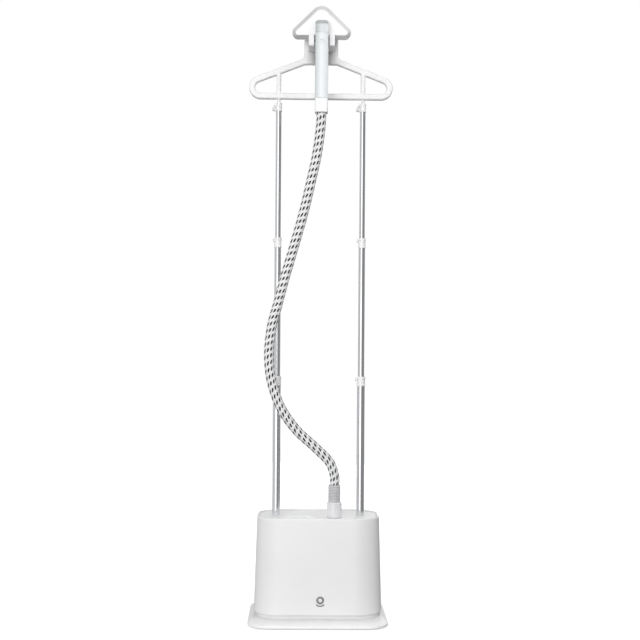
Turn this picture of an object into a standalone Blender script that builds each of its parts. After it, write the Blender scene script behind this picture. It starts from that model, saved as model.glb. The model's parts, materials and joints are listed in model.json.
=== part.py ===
"""Upright garment steamer on a twin telescopic mast.

Frame: metres, +Z up, +X to the user's right, the user stands on the -Y side.
The origin is on the floor under the middle of the foot plate.
"""

from math import acos, atan2, ceil, cos, pi, radians, sin, sqrt, tan

import bmesh
import bpy
from mathutils import Vector

# ---------------------------------------------------------------- driving sizes
GAP = 0.0003                 # air kept between pieces that meet
ROUND_STEPS = 20             # sides of the mast tubes and of everything that fits them
SMALL_STEPS = 12             # sides of small turned pieces

# foot plate and feet; the plate stands out round the housing
PLATE_MARGIN_W = 0.0135      # each side
PLATE_MARGIN_FRONT = 0.0300
PLATE_MARGIN_BACK = 0.0620
PLATE_CORNER = 0.050
PLATE_EDGE_TOP = 0.0100      # top of the plate's upright edge
PLATE_CROWN_TOP = 0.0185     # the plate rises to this height under the plinth
FOOT_RADIUS = 0.011
FOOT_HEIGHT = 0.0024
FOOT_INSET = 0.030           # foot centre from the plate's sides

# base housing, centred on the mast plane
BODY_BOTTOM = 0.0280
BODY_TOP = 0.2572            # crest of the rim round the deck
BODY_HALF_W = 0.1545         # at the bottom
BODY_HALF_D = 0.0880
BODY_TAPER_W = 0.0070        # each side comes in this much from bottom to top
BODY_TAPER_D = 0.0050
BODY_CORNER_W = 0.070        # elliptical corner, along X
BODY_CORNER_D = 0.056        # and along Y
MAST_Y = (PLATE_MARGIN_FRONT - PLATE_MARGIN_BACK) / 2.0    # the housing stands ahead of the middle
PLATE_HALF_W = BODY_HALF_W + PLATE_MARGIN_W
PLATE_HALF_D = BODY_HALF_D + (PLATE_MARGIN_FRONT + PLATE_MARGIN_BACK) / 2.0
WALL = 0.0028
RIM_WIDTH = 0.0055
PLINTH_RECESS = 0.0035
DECK_TOP = 0.2540
DECK_THICK = 0.0040

# mast
POLE_X = 0.1030              # each pole's distance from the middle
TUBE_RADII = (0.0096, 0.0079, 0.00685)
TUBE_WALLS = (0.0009, 0.0008, 0.0007)
CLIP_BOTTOMS = (0.5710, 0.9090, 1.2420)
CLIP_TOPS = (0.5940, 0.9330, 1.2630)
CLIP_WALL = 0.0009
TUBE_SEAT = 0.0150           # how far a tube's top end sits inside its clip
TUBE_OVERLAP = 0.0600        # tube left inside the next one when it is pulled out
SOCKET_DEPTH = 0.0800
SOCKET_WALL = 0.0024

SIDES = (("left", -1), ("right", 1))
STAGES = ("lower", "middle", "upper")

# clip lever
LEVER_HALF_Y = 0.0046
LEVER_PROUD = 0.0078
EAR_RADIUS = 0.0030
EAR_HALF_Y = 0.0046
SLOT_HALF_Y = 0.0022
PIN_RADIUS = 0.0011

# hanger
HANGER_HALF_W = 0.1760
HANGER_SLOPE = radians(21.0)
BAR_BOTTOM = 1.2720
BAR_HEIGHT = 0.0150          # also the arms' width
HANGER_END_RADIUS = 0.0287   # outer radius of the loop's ends
HANGER_THICK = 0.0160
NECK_HALF_W = 0.0415
NECK_BOTTOM = 1.3570
NECK_TOP = 1.4235
STRUT_HALF_W = 0.0055
LEG_NECK_RADIUS = 0.0040     # each leg between the bar and its clip
LEG_CLEARANCE = 0.00045
LEG_RADIUS = TUBE_RADII[2] - TUBE_WALLS[2] - LEG_CLEARANCE
LEG_LENGTH = 0.0750          # part of the leg inside the top tube

# hose and its union
HOSE_RADIUS = 0.0120
NUT_X = 0.0384
NUT_Y = -0.0540
NUT_RADIUS = HOSE_RADIUS + 0.0060
NUT_TOP = 0.2920
CUFF_RADIUS = HOSE_RADIUS + 0.0030
CUFF_TOP = 0.3330
SPIGOT_RADIUS = HOSE_RADIUS
SPIGOT_TOP = 0.2862
SPIGOT_BOTTOM = DECK_TOP - DECK_THICK - 0.0120
SPIGOT_BORE = 0.0060

# handset and its cradle
BORE_RADIUS = HOSE_RADIUS + 0.0007
HANDLE_FRONT = -0.1010
PANEL_THICK = 0.0025
BORE_Y = HANDLE_FRONT + PANEL_THICK + BORE_RADIUS + 0.0023
HANDLE_HALF_W = BORE_RADIUS + 0.0028
HANDLE_BACK = BORE_Y + BORE_RADIUS + 0.0048
HANDLE_BOTTOM = 1.2256
COLLAR_TOP = 1.2586
PANEL_TOP = 1.4147
DUCT_RADIUS = 0.0058
HEAD_BOTTOM = 1.4100
HEAD_TOP = 1.4880
HEAD_HALF_W = 0.0705
HEAD_RADIUS = 0.0140         # lower corners
HEAD_APEX_RADIUS = 0.0270
HEAD_FRONT = -0.0757
HEAD_JOINT = -0.0520         # plane where the shell meets the steam plate
HEAD_BACK = -0.0457
HEAD_BEVEL = 0.0095
HEAD_BEVEL_DEPTH = 0.0110
HEAD_WALL = 0.0025
ROOT_TOP = 1.4510            # where the handle's root dies into the head
ROOT_KNEE = 1.4372
STEAM_BUTTON_Z = 1.3930
STEAM_BUTTON_RADIUS = 0.0052
CRADLE_INNER = HANDLE_HALF_W + 0.0030    # half of the slot between the prongs
CRADLE_OUTER = CRADLE_INNER + 0.0130
CRADLE_FRONT = -0.0810
CRADLE_LIP_TOP = 1.4165
CRADLE_LIP = 0.0045
CRADLE_BACK_WALL = 0.0095
CRADLE_BOTTOM = 1.3870

# the hose's path from the union to the inside of the handle
HOSE_SEAM_Z = 0.7640
HOSE_ROUTE = [
    (NUT_X, NUT_Y, SPIGOT_TOP + 0.0008), (NUT_X, NUT_Y, 0.3100), (NUT_X, NUT_Y, CUFF_TOP),
    (0.0380, -0.0560, 0.3560), (0.0240, -0.0600, 0.3910), (-0.0130, -0.0660, 0.4280),
    (-0.0540, -0.0720, 0.4660), (-0.0880, -0.0780, 0.5130), (-0.1080, -0.0820, 0.5600),
    (-0.1190, -0.0850, 0.6090), (-0.1210, -0.0860, 0.6610), (-0.1140, -0.0860, 0.7200),
    (-0.1020, -0.0860, HOSE_SEAM_Z), (-0.0850, -0.0855, 0.8300), (-0.0660, -0.0850, 0.8960),
    (-0.0470, -0.0845, 0.9640), (-0.0340, -0.0840, 1.0150), (-0.0230, -0.0838, 1.0650),
    (-0.0120, -0.0836, 1.1150), (-0.0050, -0.0835, 1.1600), (-0.0008, -0.0835, 1.2000),
    (0.0000, BORE_Y, 1.2350), (0.0000, BORE_Y, 1.2900), (0.0000, BORE_Y, 1.3400)]

# front controls
BUTTON_X = 0.0050
BUTTON_Z = 0.0642
BUTTON_RADIUS = 0.0045
BEZEL_RADIUS = 0.0090
ARC_INNER = 0.0125
ARC_OUTER = 0.0150
ARC_HALF_ANGLE = radians(42.0)

# mains cord gland in the rear wall
GLAND_X = -0.0500
GLAND_Z = 0.0500
GLAND_RADIUS = 0.0070

# filler lid and tank
LID_X = -0.0450
LID_HALF_W = 0.0400
LID_HALF_D = 0.0270
LID_THICK = 0.0024
SCOOP_RADII = (0.0400, 0.0210, 0.0085)    # finger scoop in front of the lid
TANK_FLOOR = 0.0800
TANK_SHOULDER = 0.2150
TANK_LEFT = -0.0870
TANK_RIGHT = 0.0120
TANK_FRONT = -0.0860
TANK_BACK = 0.0540
TANK_WALL = 0.0022
NECK_MOUTH_HALF_W = 0.0300
NECK_MOUTH_HALF_D = 0.0170

# boiler
BOILER_X = 0.0530
BOILER_Y = 0.0060
BOILER_RADIUS = 0.0340
BOILER_BOTTOM = 0.0450
BOILER_TOP = 0.1300
BOILER_WALL = 0.0040


# ---------------------------------------------------------------- scene and collections
for old in list(bpy.data.objects):
    bpy.data.objects.remove(old, do_unlink=True)

parts = bpy.data.collections.new("garment_steamer")
cutters = bpy.data.collections.new("cutters")
bpy.context.scene.collection.children.link(parts)
bpy.context.scene.collection.children.link(cutters)


def finish(name, color, roughness, metallic=0.0):
    """A Principled material with one colour."""
    mat = bpy.data.materials.new(name)
    mat.use_nodes = True
    shader = mat.node_tree.nodes["Principled BSDF"]
    shader.inputs["Base Color"].default_value = (*color, 1.0)
    shader.inputs["Roughness"].default_value = roughness
    shader.inputs["Metallic"].default_value = metallic
    return mat


WHITE_SHELL = (0.84, 0.84, 0.85)
PURE_WHITE = (0.92, 0.92, 0.92)
PEARL = (0.82, 0.85, 0.88)
MID_GREY = (0.35, 0.36, 0.38)
STEEL = (0.76, 0.77, 0.79)


# ---------------------------------------------------------------- outlines
def arc(cx, cy, radius, start, end, steps):
    """Points on a circle from one angle to another, both ends included."""
    turn = (end - start) / steps
    return [(cx + radius * cos(start + turn * i), cy + radius * sin(start + turn * i))
            for i in range(steps + 1)]


def circle(cx, cy, radius, steps=ROUND_STEPS):
    return arc(cx, cy, radius, 0.0, 2.0 * pi, steps)[:-1]


def rounded_box(half_w, half_d, corner_w, corner_d, cx=0.0, cy=0.0, steps=7):
    """A rectangle with elliptical corners, counter-clockwise."""
    points = []
    for quarter, (sx, sy) in enumerate(((1, 1), (-1, 1), (-1, -1), (1, -1))):
        for i in range(steps + 1):
            angle = (quarter + i / steps) * pi / 2.0
            points.append((cx + sx * (half_w - corner_w) + corner_w * cos(angle),
                           cy + sy * (half_d - corner_d) + corner_d * sin(angle)))
    return points


def rounded_polygon(corners, arc_step=radians(15.0)):
    """Round each corner (x, y, radius) of a polygon with an arc tangent to its two sides."""
    points = []
    for i, (x, y, radius) in enumerate(corners):
        before = Vector(corners[i - 1][:2])
        after = Vector(corners[(i + 1) % len(corners)][:2])
        here = Vector((x, y))
        if radius == 0.0:
            points.append((x, y))
            continue
        back = (before - here).normalized()
        on = (after - here).normalized()
        half = back.angle(on) / 2.0
        centre = here + (back + on).normalized() * (radius / sin(half))
        first = here + back * (radius / tan(half)) - centre
        last = here + on * (radius / tan(half)) - centre
        start = atan2(first.y, first.x)
        turn = atan2(first.x * last.y - first.y * last.x, first.dot(last))
        steps = max(2, ceil(abs(turn) / arc_step))
        points += arc(centre.x, centre.y, radius, start, start + turn, steps)
    return points


def rounded_triangle(half_w, bottom, top, radius, apex_radius, inset=0.0, steps=6):
    """An upright triangle with rounded corners, listed counter-clockwise from its lower right."""
    centres = ((half_w - radius, bottom + radius), (0.0, top - apex_radius),
               (radius - half_w, bottom + radius))
    across, up = centres[1][0] - centres[0][0], centres[1][1] - centres[0][1]
    side = atan2(up, across) - acos((radius - apex_radius) / sqrt(across * across + up * up))
    turns = ((-pi / 2.0, side, radius), (side, pi - side, apex_radius),
             (pi - side, 3.0 * pi / 2.0, radius))
    points = []
    for (cx, cy), (start, end, size) in zip(centres, turns):
        points += arc(cx, cy, size - inset, start, end, steps)
    return points


# ---------------------------------------------------------------- builders
def add(name, mesh, mat, collection=parts):
    obj = bpy.data.objects.new(name, mesh)
    collection.objects.link(obj)
    if mat:
        mesh.materials.append(mat)
    if collection is cutters:
        obj.hide_render = True
        obj.display_type = "WIRE"
    return obj


def smooth(obj, angle=radians(32.0)):
    obj.data.shade_smooth()
    obj.data.set_sharp_from_angle(angle=angle)
    return obj


def turned(name, profile, mat, location=(0, 0, 0), rotation=(0, 0, 0), steps=ROUND_STEPS,
           ring=False, collection=parts):
    """Turn a profile of (radius, height), listed down its outer side, about the local Z axis."""
    mesh = bpy.data.meshes.new(name)
    edges = [(i, i + 1) for i in range(len(profile) - 1)]
    if ring:
        edges.append((len(profile) - 1, 0))
    mesh.from_pydata([(r, 0.0, z) for r, z in profile], edges, [])
    obj = add(name, mesh, mat, collection)
    obj.location = location
    obj.rotation_euler = rotation
    screw = obj.modifiers.new("turn", "SCREW")
    screw.steps = steps
    screw.render_steps = steps
    screw.use_merge_vertices = True
    screw.merge_threshold = 0.00001
    screw.use_smooth_shade = True
    return obj


def tube(name, outer, wall, low, high, mat, x, y):
    """A straight tube on an upright axis; its origin is at its bottom end."""
    inner = outer - wall
    length = high - low
    profile = [(outer, length), (outer, 0.0), (inner, 0.0), (inner, length)]
    return turned(name, profile, mat, location=(x, y, low), ring=True)


def plate(name, outlines, low, high, mat, upright=False, collection=parts):
    """A flat piece from closed outlines, the first solid and the others holes.

    Flat pieces run from low to high along Z. Upright ones are drawn in XZ and run from
    low to high along Y.
    """
    curve = bpy.data.curves.new(name, "CURVE")
    curve.dimensions = "2D"
    curve.fill_mode = "BOTH"
    curve.extrude = (high - low) / 2.0
    for outline in outlines:
        spline = curve.splines.new("POLY")
        spline.points.add(len(outline) - 1)
        for point, (x, y) in zip(spline.points, outline):
            point.co = (x, y, 0.0, 1.0)
        spline.use_cyclic_u = True
    drawn = bpy.data.objects.new(name + "_outline", curve)
    bpy.context.scene.collection.objects.link(drawn)
    bpy.context.view_layer.update()
    evaluated = drawn.evaluated_get(bpy.context.evaluated_depsgraph_get())
    mesh = bpy.data.meshes.new_from_object(evaluated)
    bpy.data.objects.remove(drawn, do_unlink=True)
    bpy.data.curves.remove(curve)
    work = bmesh.new()
    work.from_mesh(mesh)
    bmesh.ops.remove_doubles(work, verts=work.verts, dist=0.000002)
    for vert in work.verts:
        x, y, z = vert.co
        z += (low + high) / 2.0
        vert.co = (x, z, y) if upright else (x, y, z)
    if upright:
        bmesh.ops.reverse_faces(work, faces=work.faces)
    work.to_mesh(mesh)
    work.free()
    mesh.name = name
    mesh.materials.clear()
    return add(name, mesh, mat, collection)


def loft(name, sections, mat, ring=False, collection=parts):
    """Skin equal-length sections; a ring joins the last to the first, otherwise both are capped."""
    work = bmesh.new()
    loops = [[work.verts.new(point) for point in section] for section in sections]
    pairs = list(zip(loops, loops[1:]))
    if ring:
        pairs.append((loops[-1], loops[0]))
    else:
        work.faces.new(loops[0])
        work.faces.new(loops[-1])
    for lower, upper in pairs:
        for i in range(len(lower)):
            j = (i + 1) % len(lower)
            work.faces.new((lower[i], lower[j], upper[j], upper[i]))
    bmesh.ops.recalc_face_normals(work, faces=work.faces)
    mesh = bpy.data.meshes.new(name)
    work.to_mesh(mesh)
    work.free()
    return add(name, mesh, mat, collection)


def block(name, low, high, mat, collection=parts):
    """A box between two corners."""
    work = bmesh.new()
    bmesh.ops.create_cube(work, size=1.0)
    size = [b - a for a, b in zip(low, high)]
    for vert in work.verts:
        vert.co = [a + (c + 0.5) * s for a, c, s in zip(low, vert.co, size)]
    mesh = bpy.data.meshes.new(name)
    work.to_mesh(mesh)
    work.free()
    return add(name, mesh, mat, collection)


def rod(name, start, end, radius, mat, steps=SMALL_STEPS, collection=parts):
    """A round bar between two points."""
    start, end = Vector(start), Vector(end)
    along = end - start
    profile = [(0.0, along.length), (radius, along.length), (radius, 0.0), (0.0, 0.0)]
    turn = Vector((0, 0, 1)).rotation_difference(along).to_euler()
    return turned(name, profile, mat, start, turn, steps, collection=collection)


def boolean(obj, other, operation="DIFFERENCE"):
    mod = obj.modifiers.new(operation.lower(), "BOOLEAN")
    mod.operation = operation
    mod.solver = "EXACT"
    mod.object = other
    return obj


def bevel(obj, width, segments=1, angle=radians(40.0)):
    mod = obj.modifiers.new("bevel", "BEVEL")
    mod.width = width
    mod.segments = segments
    mod.limit_method = "ANGLE"
    mod.angle_limit = angle
    return obj


def spline_points(route, spacing):
    """Points at an even spacing along a Catmull-Rom curve through the route."""
    route = [Vector(p) for p in route]
    padded = [route[0] * 2 - route[1], *route, route[-1] * 2 - route[-2]]
    fine = []
    for i in range(1, len(padded) - 2):
        a, b, c, d = padded[i - 1:i + 3]
        for k in range(40):
            t = k / 40.0
            fine.append(0.5 * (2 * b + (c - a) * t + (2 * a - 5 * b + 4 * c - d) * t * t
                               + (3 * b - a - 3 * c + d) * t ** 3))
    fine.append(route[-1])
    lengths = [0.0]
    for a, b in zip(fine, fine[1:]):
        lengths.append(lengths[-1] + (b - a).length)
    count = max(2, round(lengths[-1] / spacing))
    points = []
    k = 0
    for i in range(count + 1):
        want = lengths[-1] * i / count
        while k < len(fine) - 2 and lengths[k + 1] < want:
            k += 1
        span = lengths[k + 1] - lengths[k]
        points.append(fine[k].lerp(fine[k + 1], (want - lengths[k]) / span if span else 0.0))
    return points


def pipe(name, points, radius, mat, resolution=2):
    """A round tube with closed ends along a chain of points."""
    curve = bpy.data.curves.new(name, "CURVE")
    curve.dimensions = "3D"
    curve.bevel_depth = radius
    curve.bevel_resolution = resolution
    curve.use_fill_caps = True
    spline = curve.splines.new("POLY")
    spline.points.add(len(points) - 1)
    for point, place in zip(spline.points, points):
        point.co = (*place, 1.0)
    curve.materials.append(mat)
    obj = bpy.data.objects.new(name, curve)
    parts.objects.link(obj)
    return obj


def pivot(obj, point):
    """Move an object's origin to a point and leave its shape where it is."""
    point = Vector(point)
    for vert in obj.data.vertices:
        vert.co = vert.co - point
    obj.location = obj.location + point
    return obj


# ---------------------------------------------------------------- foot plate, feet, plinth
def body_size(z):
    """Half width and half depth of the housing's outer face at a height."""
    share = (z - BODY_BOTTOM) / (BODY_TOP - BODY_BOTTOM)
    return BODY_HALF_W - BODY_TAPER_W * share, BODY_HALF_D - BODY_TAPER_D * share


def body_section(z, inset):
    half_w, half_d = body_size(z)
    outline = rounded_box(half_w - inset, half_d - inset, BODY_CORNER_W - inset,
                          BODY_CORNER_D - inset, cy=MAST_Y)
    return [(x, y, z) for x, y in outline]


def plate_section(z, inset):
    outline = rounded_box(PLATE_HALF_W - inset, PLATE_HALF_D - inset, PLATE_CORNER - inset,
                          PLATE_CORNER - inset)
    return [(x, y, z) for x, y in outline]


def build_foot():
    base = FOOT_HEIGHT + GAP
    sections = [plate_section(base, 0.0020), plate_section(base + 0.0015, 0.0),
                plate_section(PLATE_EDGE_TOP - 0.0015, 0.0), plate_section(PLATE_EDGE_TOP, 0.0012),
                plate_section(PLATE_EDGE_TOP + 0.0012, 0.0080)]
    crown = [(x, y, PLATE_CROWN_TOP) for x, y, z in body_section(BODY_BOTTOM, -0.0005)]
    sections.append(crown)
    smooth(loft("foot_plate", sections, finish("plate_white", PURE_WHITE, 0.35)))

    rubber = finish("foot_rubber", (0.05, 0.05, 0.05), 0.8)
    foot_x = PLATE_HALF_W - FOOT_INSET
    foot_y = PLATE_HALF_D - FOOT_INSET
    for depth, sy in (("front", -1), ("rear", 1)):
        for side, sx in (("left", -1), ("right", 1)):
            turned(f"foot_{depth}_{side}",
                   [(0.0, FOOT_HEIGHT), (FOOT_RADIUS, FOOT_HEIGHT), (FOOT_RADIUS - 0.0006, 0.0),
                    (0.0, 0.0)], rubber, (sx * foot_x, sy * foot_y, 0.0), steps=SMALL_STEPS)

    low = PLATE_CROWN_TOP + GAP
    high = BODY_BOTTOM - GAP
    rings = [(low, PLINTH_RECESS), (high, PLINTH_RECESS), (high, PLINTH_RECESS + WALL),
             (low, PLINTH_RECESS + WALL)]
    sections = []
    for z, inset in rings:
        sections.append([(x, y, z) for x, y, _ in body_section(BODY_BOTTOM, inset)])
    smooth(loft("plinth_ring", sections, finish("plinth_white", PURE_WHITE, 0.4), ring=True))


# ---------------------------------------------------------------- housing, deck, controls
def front_face(z):
    """Depth of the housing's front at a height."""
    return MAST_Y - body_size(z)[1]


def deck_outline(inset):
    half_w, half_d = body_size(DECK_TOP)
    cut = RIM_WIDTH + inset
    return rounded_box(half_w - cut, half_d - cut, BODY_CORNER_W - cut, BODY_CORNER_D - cut,
                       cy=MAST_Y)


def lid_outline(inset):
    return rounded_box(LID_HALF_W - inset, LID_HALF_D - inset, 0.018 - inset, 0.018 - inset,
                       LID_X, MAST_Y, steps=4)


def arc_outline(clearance):
    """The indicator's smile-shaped light guide, in XZ about the button's centre."""
    start = -pi / 2.0 - ARC_HALF_ANGLE
    end = -pi / 2.0 + ARC_HALF_ANGLE
    spread = clearance / ARC_OUTER
    outer = arc(BUTTON_X, BUTTON_Z, ARC_OUTER + clearance, start - spread, end + spread, 8)
    inner = arc(BUTTON_X, BUTTON_Z, ARC_INNER - clearance, end + spread, start - spread, 8)
    return outer + inner


def build_housing():
    shell_white = finish("shell_white", WHITE_SHELL, 0.38)
    rings = [(BODY_BOTTOM, 0.0015), (BODY_BOTTOM + 0.0015, 0.0), (BODY_TOP - 0.0032, 0.0),
             (BODY_TOP - 0.0009, 0.0010), (BODY_TOP, 0.0030), (BODY_TOP - 0.0006, 0.0052),
             (DECK_TOP - DECK_THICK, RIM_WIDTH), (BODY_BOTTOM, WALL)]
    shell = smooth(loft("base_shell", [body_section(z, i) for z, i in rings], shell_white, ring=True))
    face = front_face(BUTTON_Z)
    hole = rod("bezel_hole", (BUTTON_X, face - 0.01, BUTTON_Z), (BUTTON_X, face + 0.01, BUTTON_Z),
               BEZEL_RADIUS + GAP, None, ROUND_STEPS, cutters)
    slot = plate("indicator_slot", [arc_outline(GAP)], face - 0.01, face + 0.01, None, True, cutters)
    rear = MAST_Y + body_size(GLAND_Z)[1]
    gland_hole = rod("gland_hole", (GLAND_X, rear - 0.01, GLAND_Z), (GLAND_X, rear + 0.01, GLAND_Z),
                     GLAND_RADIUS + GAP, None, SMALL_STEPS, cutters)
    for cutter in (hole, slot, gland_hole):
        boolean(shell, cutter)

    turn = (pi / 2.0, 0.0, 0.0)
    turned("button_bezel", [(BEZEL_RADIUS - 0.0006, 0.0008), (BEZEL_RADIUS, 0.0002),
                            (BEZEL_RADIUS, -0.0042), (BUTTON_RADIUS + GAP, -0.0042),
                            (BUTTON_RADIUS + GAP, 0.0008)],
           finish("bezel_grey", MID_GREY, 0.3), (BUTTON_X, face, BUTTON_Z), turn, ring=True)
    turned("power_button", [(0.0, 0.0004), (BUTTON_RADIUS - 0.0008, 0.0004),
                            (BUTTON_RADIUS, -0.0004), (BUTTON_RADIUS, -0.0055),
                            (0.0030, -0.0055), (0.0030, -0.0090), (0.0, -0.0090)],
           finish("button_white", PURE_WHITE, 0.3), (BUTTON_X, face, BUTTON_Z), turn)
    plate("indicator_lens", [arc_outline(0.0)], face - 0.0004, face + WALL, finish(
        "indicator_grey", MID_GREY, 0.25), True)

    build_deck()
    turned("cord_gland", [(0.0085, 0.0030), (GLAND_RADIUS + 0.0020, 0.0), (GLAND_RADIUS, 0.0),
                          (GLAND_RADIUS, -0.0060), (0.0038, -0.0060), (0.0038, 0.0030)],
           finish("gland_grey", (0.5, 0.5, 0.52), 0.6),
           (GLAND_X, rear + GAP, GLAND_Z), (-pi / 2.0, 0.0, 0.0), SMALL_STEPS, ring=True)


def build_deck():
    white = finish("deck_white", WHITE_SHELL, 0.42)
    tube_holes = [circle(sx * POLE_X, MAST_Y, TUBE_RADII[0] + 2 * GAP) for sx in (-1, 1)]
    spigot_hole = circle(NUT_X, NUT_Y, SPIGOT_RADIUS + GAP)
    deck = plate("top_deck", [deck_outline(GAP), *tube_holes, spigot_hole], DECK_TOP - DECK_THICK,
                 DECK_TOP, white)
    # finger scoop in front of the lid: a dish hangs under the deck and is hollowed out
    scoop_y = MAST_Y - LID_HALF_D - 0.018
    dish = scoop_ball("scoop_dish", scoop_y, 0.0025, DECK_TOP - DECK_THICK / 2.0)
    scoop = scoop_ball("scoop_hollow", scoop_y, 0.0, None)
    boolean(deck, dish, "UNION")
    boolean(deck, scoop)
    seat = plate("lid_seat", [lid_outline(-2 * GAP)], DECK_TOP - LID_THICK - GAP, DECK_TOP + 0.01,
                 None, collection=cutters)
    mouth = plate("filler_mouth", [lid_outline(0.004)], DECK_TOP - 0.03, DECK_TOP + 0.01, None,
                  collection=cutters)
    boolean(deck, seat)
    boolean(deck, mouth)

    lid = plate("filler_lid", [lid_outline(GAP)], DECK_TOP - LID_THICK, DECK_TOP,
                finish("lid_white", PURE_WHITE, 0.4))
    pivot(lid, (LID_X, MAST_Y + LID_HALF_D - GAP, DECK_TOP))


def scoop_ball(name, y, grow, cut_z):
    """A flattened ball at the deck's surface, cut off level where it would stand above cut_z."""
    work = bmesh.new()
    bmesh.ops.create_uvsphere(work, u_segments=20, v_segments=10, radius=1.0)
    for vert in work.verts:
        vert.co = (LID_X + vert.co.x * (SCOOP_RADII[0] + grow), y + vert.co.y * (SCOOP_RADII[1] + grow),
                   DECK_TOP + vert.co.z * (SCOOP_RADII[2] + grow))
    if cut_z is not None:
        cut = bmesh.ops.bisect_plane(work, geom=work.verts[:] + work.edges[:] + work.faces[:],
                                     plane_co=(0, 0, cut_z), plane_no=(0, 0, 1), clear_outer=True)
        rim = [e for e in cut["geom_cut"] if isinstance(e, bmesh.types.BMEdge)]
        bmesh.ops.edgeloop_fill(work, edges=rim)
    bmesh.ops.recalc_face_normals(work, faces=work.faces)
    mesh = bpy.data.meshes.new(name)
    work.to_mesh(mesh)
    work.free()
    return add(name, mesh, None, cutters)


# ---------------------------------------------------------------- works inside the housing
def build_works():
    moulded = finish("tank_clear_grey", (0.75, 0.78, 0.80), 0.2)
    tank_x = (TANK_LEFT + TANK_RIGHT) / 2.0
    tank_y = (TANK_FRONT + TANK_BACK) / 2.0
    half_w = (TANK_RIGHT - TANK_LEFT) / 2.0
    half_d = (TANK_BACK - TANK_FRONT) / 2.0
    mouth_top = DECK_TOP - DECK_THICK - GAP

    def belly(z, inset):
        outline = rounded_box(half_w - inset, half_d - inset, 0.016 - inset, 0.016 - inset,
                              tank_x, tank_y, steps=3)
        return [(x, y, z) for x, y in outline]

    def mouth(z, inset):
        outline = rounded_box(NECK_MOUTH_HALF_W - inset, NECK_MOUTH_HALF_D - inset, 0.010 - inset,
                              0.010 - inset, LID_X, MAST_Y + 0.004, steps=3)
        return [(x, y, z) for x, y in outline]

    loft("water_tank", [belly(TANK_FLOOR, 0.0), belly(TANK_SHOULDER, 0.0),
                        mouth(TANK_SHOULDER + 0.010, 0.0), mouth(mouth_top, 0.0),
                        mouth(mouth_top, TANK_WALL), mouth(TANK_SHOULDER + 0.009, TANK_WALL),
                        belly(TANK_SHOULDER - TANK_WALL, TANK_WALL),
                        belly(TANK_FLOOR + TANK_WALL, TANK_WALL)], moulded)
    valve_top = TANK_FLOOR - GAP
    valve_x = tank_x + 0.020
    turned("tank_valve", [(0.0, valve_top), (0.0120, valve_top), (0.0120, valve_top - 0.008),
                          (0.0070, valve_top - 0.010), (0.0070, valve_top - 0.022),
                          (0.0, valve_top - 0.022)],
           finish("valve_white", PURE_WHITE, 0.5), (valve_x, MAST_Y, 0.0), steps=SMALL_STEPS)

    cast = finish("boiler_cast", (0.55, 0.55, 0.56), 0.5, 1.0)
    floor = BOILER_BOTTOM + BOILER_WALL
    bore = BOILER_RADIUS - BOILER_WALL
    turned("boiler_body", [(0.0, floor), (bore, floor), (bore, BOILER_TOP), (BOILER_RADIUS, BOILER_TOP),
                           (BOILER_RADIUS, floor), (bore, BOILER_BOTTOM), (0.0, BOILER_BOTTOM)],
           cast, (BOILER_X, BOILER_Y, 0.0))
    lid_top = BOILER_TOP + 0.006
    turned("boiler_lid", [(0.0, lid_top + 0.010), (0.0060, lid_top + 0.010), (0.0060, lid_top),
                          (BOILER_RADIUS, lid_top), (BOILER_RADIUS, BOILER_TOP + GAP),
                          (0.0, BOILER_TOP + GAP)], cast, (BOILER_X, BOILER_Y, 0.0))
    element = [(BOILER_X + 0.024 * cos(a), BOILER_Y + 0.024 * sin(a), BOILER_BOTTOM - 0.0042)
               for a in [radians(-60.0 + 15.0 * i) for i in range(21)]]
    pipe("heating_element", element, 0.0036, finish("element_steel", STEEL, 0.3, 1.0))
    turned("thermostat", [(0.0, lid_top + 0.011), (0.0080, lid_top + 0.011),
                          (0.0080, lid_top + GAP), (0.0, lid_top + GAP)],
           finish("thermostat_black", (0.04, 0.04, 0.04), 0.5),
           (BOILER_X, BOILER_Y + 0.020, 0.0), steps=SMALL_STEPS)

    rubber = finish("tubing_silicone", (0.65, 0.65, 0.62), 0.6)
    outlet = lid_top + 0.010 + 3 * GAP
    riser = [(BOILER_X, BOILER_Y, outlet), (BOILER_X, BOILER_Y, outlet + 0.014),
             (BOILER_X - 0.003, BOILER_Y - 0.014, outlet + 0.032),
             (NUT_X + 0.003, NUT_Y + 0.012, SPIGOT_BOTTOM - 0.030),
             (NUT_X, NUT_Y, SPIGOT_BOTTOM - 0.012),
             (NUT_X, NUT_Y, SPIGOT_BOTTOM - 3 * GAP)]
    pipe("steam_pipe", spline_points(riser, 0.010), 0.0045, rubber)
    feed_z = valve_top - 0.022 - GAP
    feed_end = BOILER_X - BOILER_RADIUS - 3 * GAP
    feed = [(valve_x, MAST_Y, feed_z), (valve_x, MAST_Y, feed_z - 0.004),
            (valve_x + 0.006, MAST_Y + 0.004, feed_z - 0.012),
            (feed_end - 0.010, BOILER_Y, feed_z - 0.006), (feed_end, BOILER_Y, feed_z - 0.006)]
    pipe("feed_tube", spline_points(feed, 0.005), 0.0032, rubber)

    board_y = front_face(BUTTON_Z) + 0.0125
    block("control_board", (BUTTON_X - 0.036, board_y, 0.0340),
          (BUTTON_X + 0.036, board_y + 0.0016, 0.0780), finish("board_green", (0.05, 0.25, 0.12), 0.5))


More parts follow.
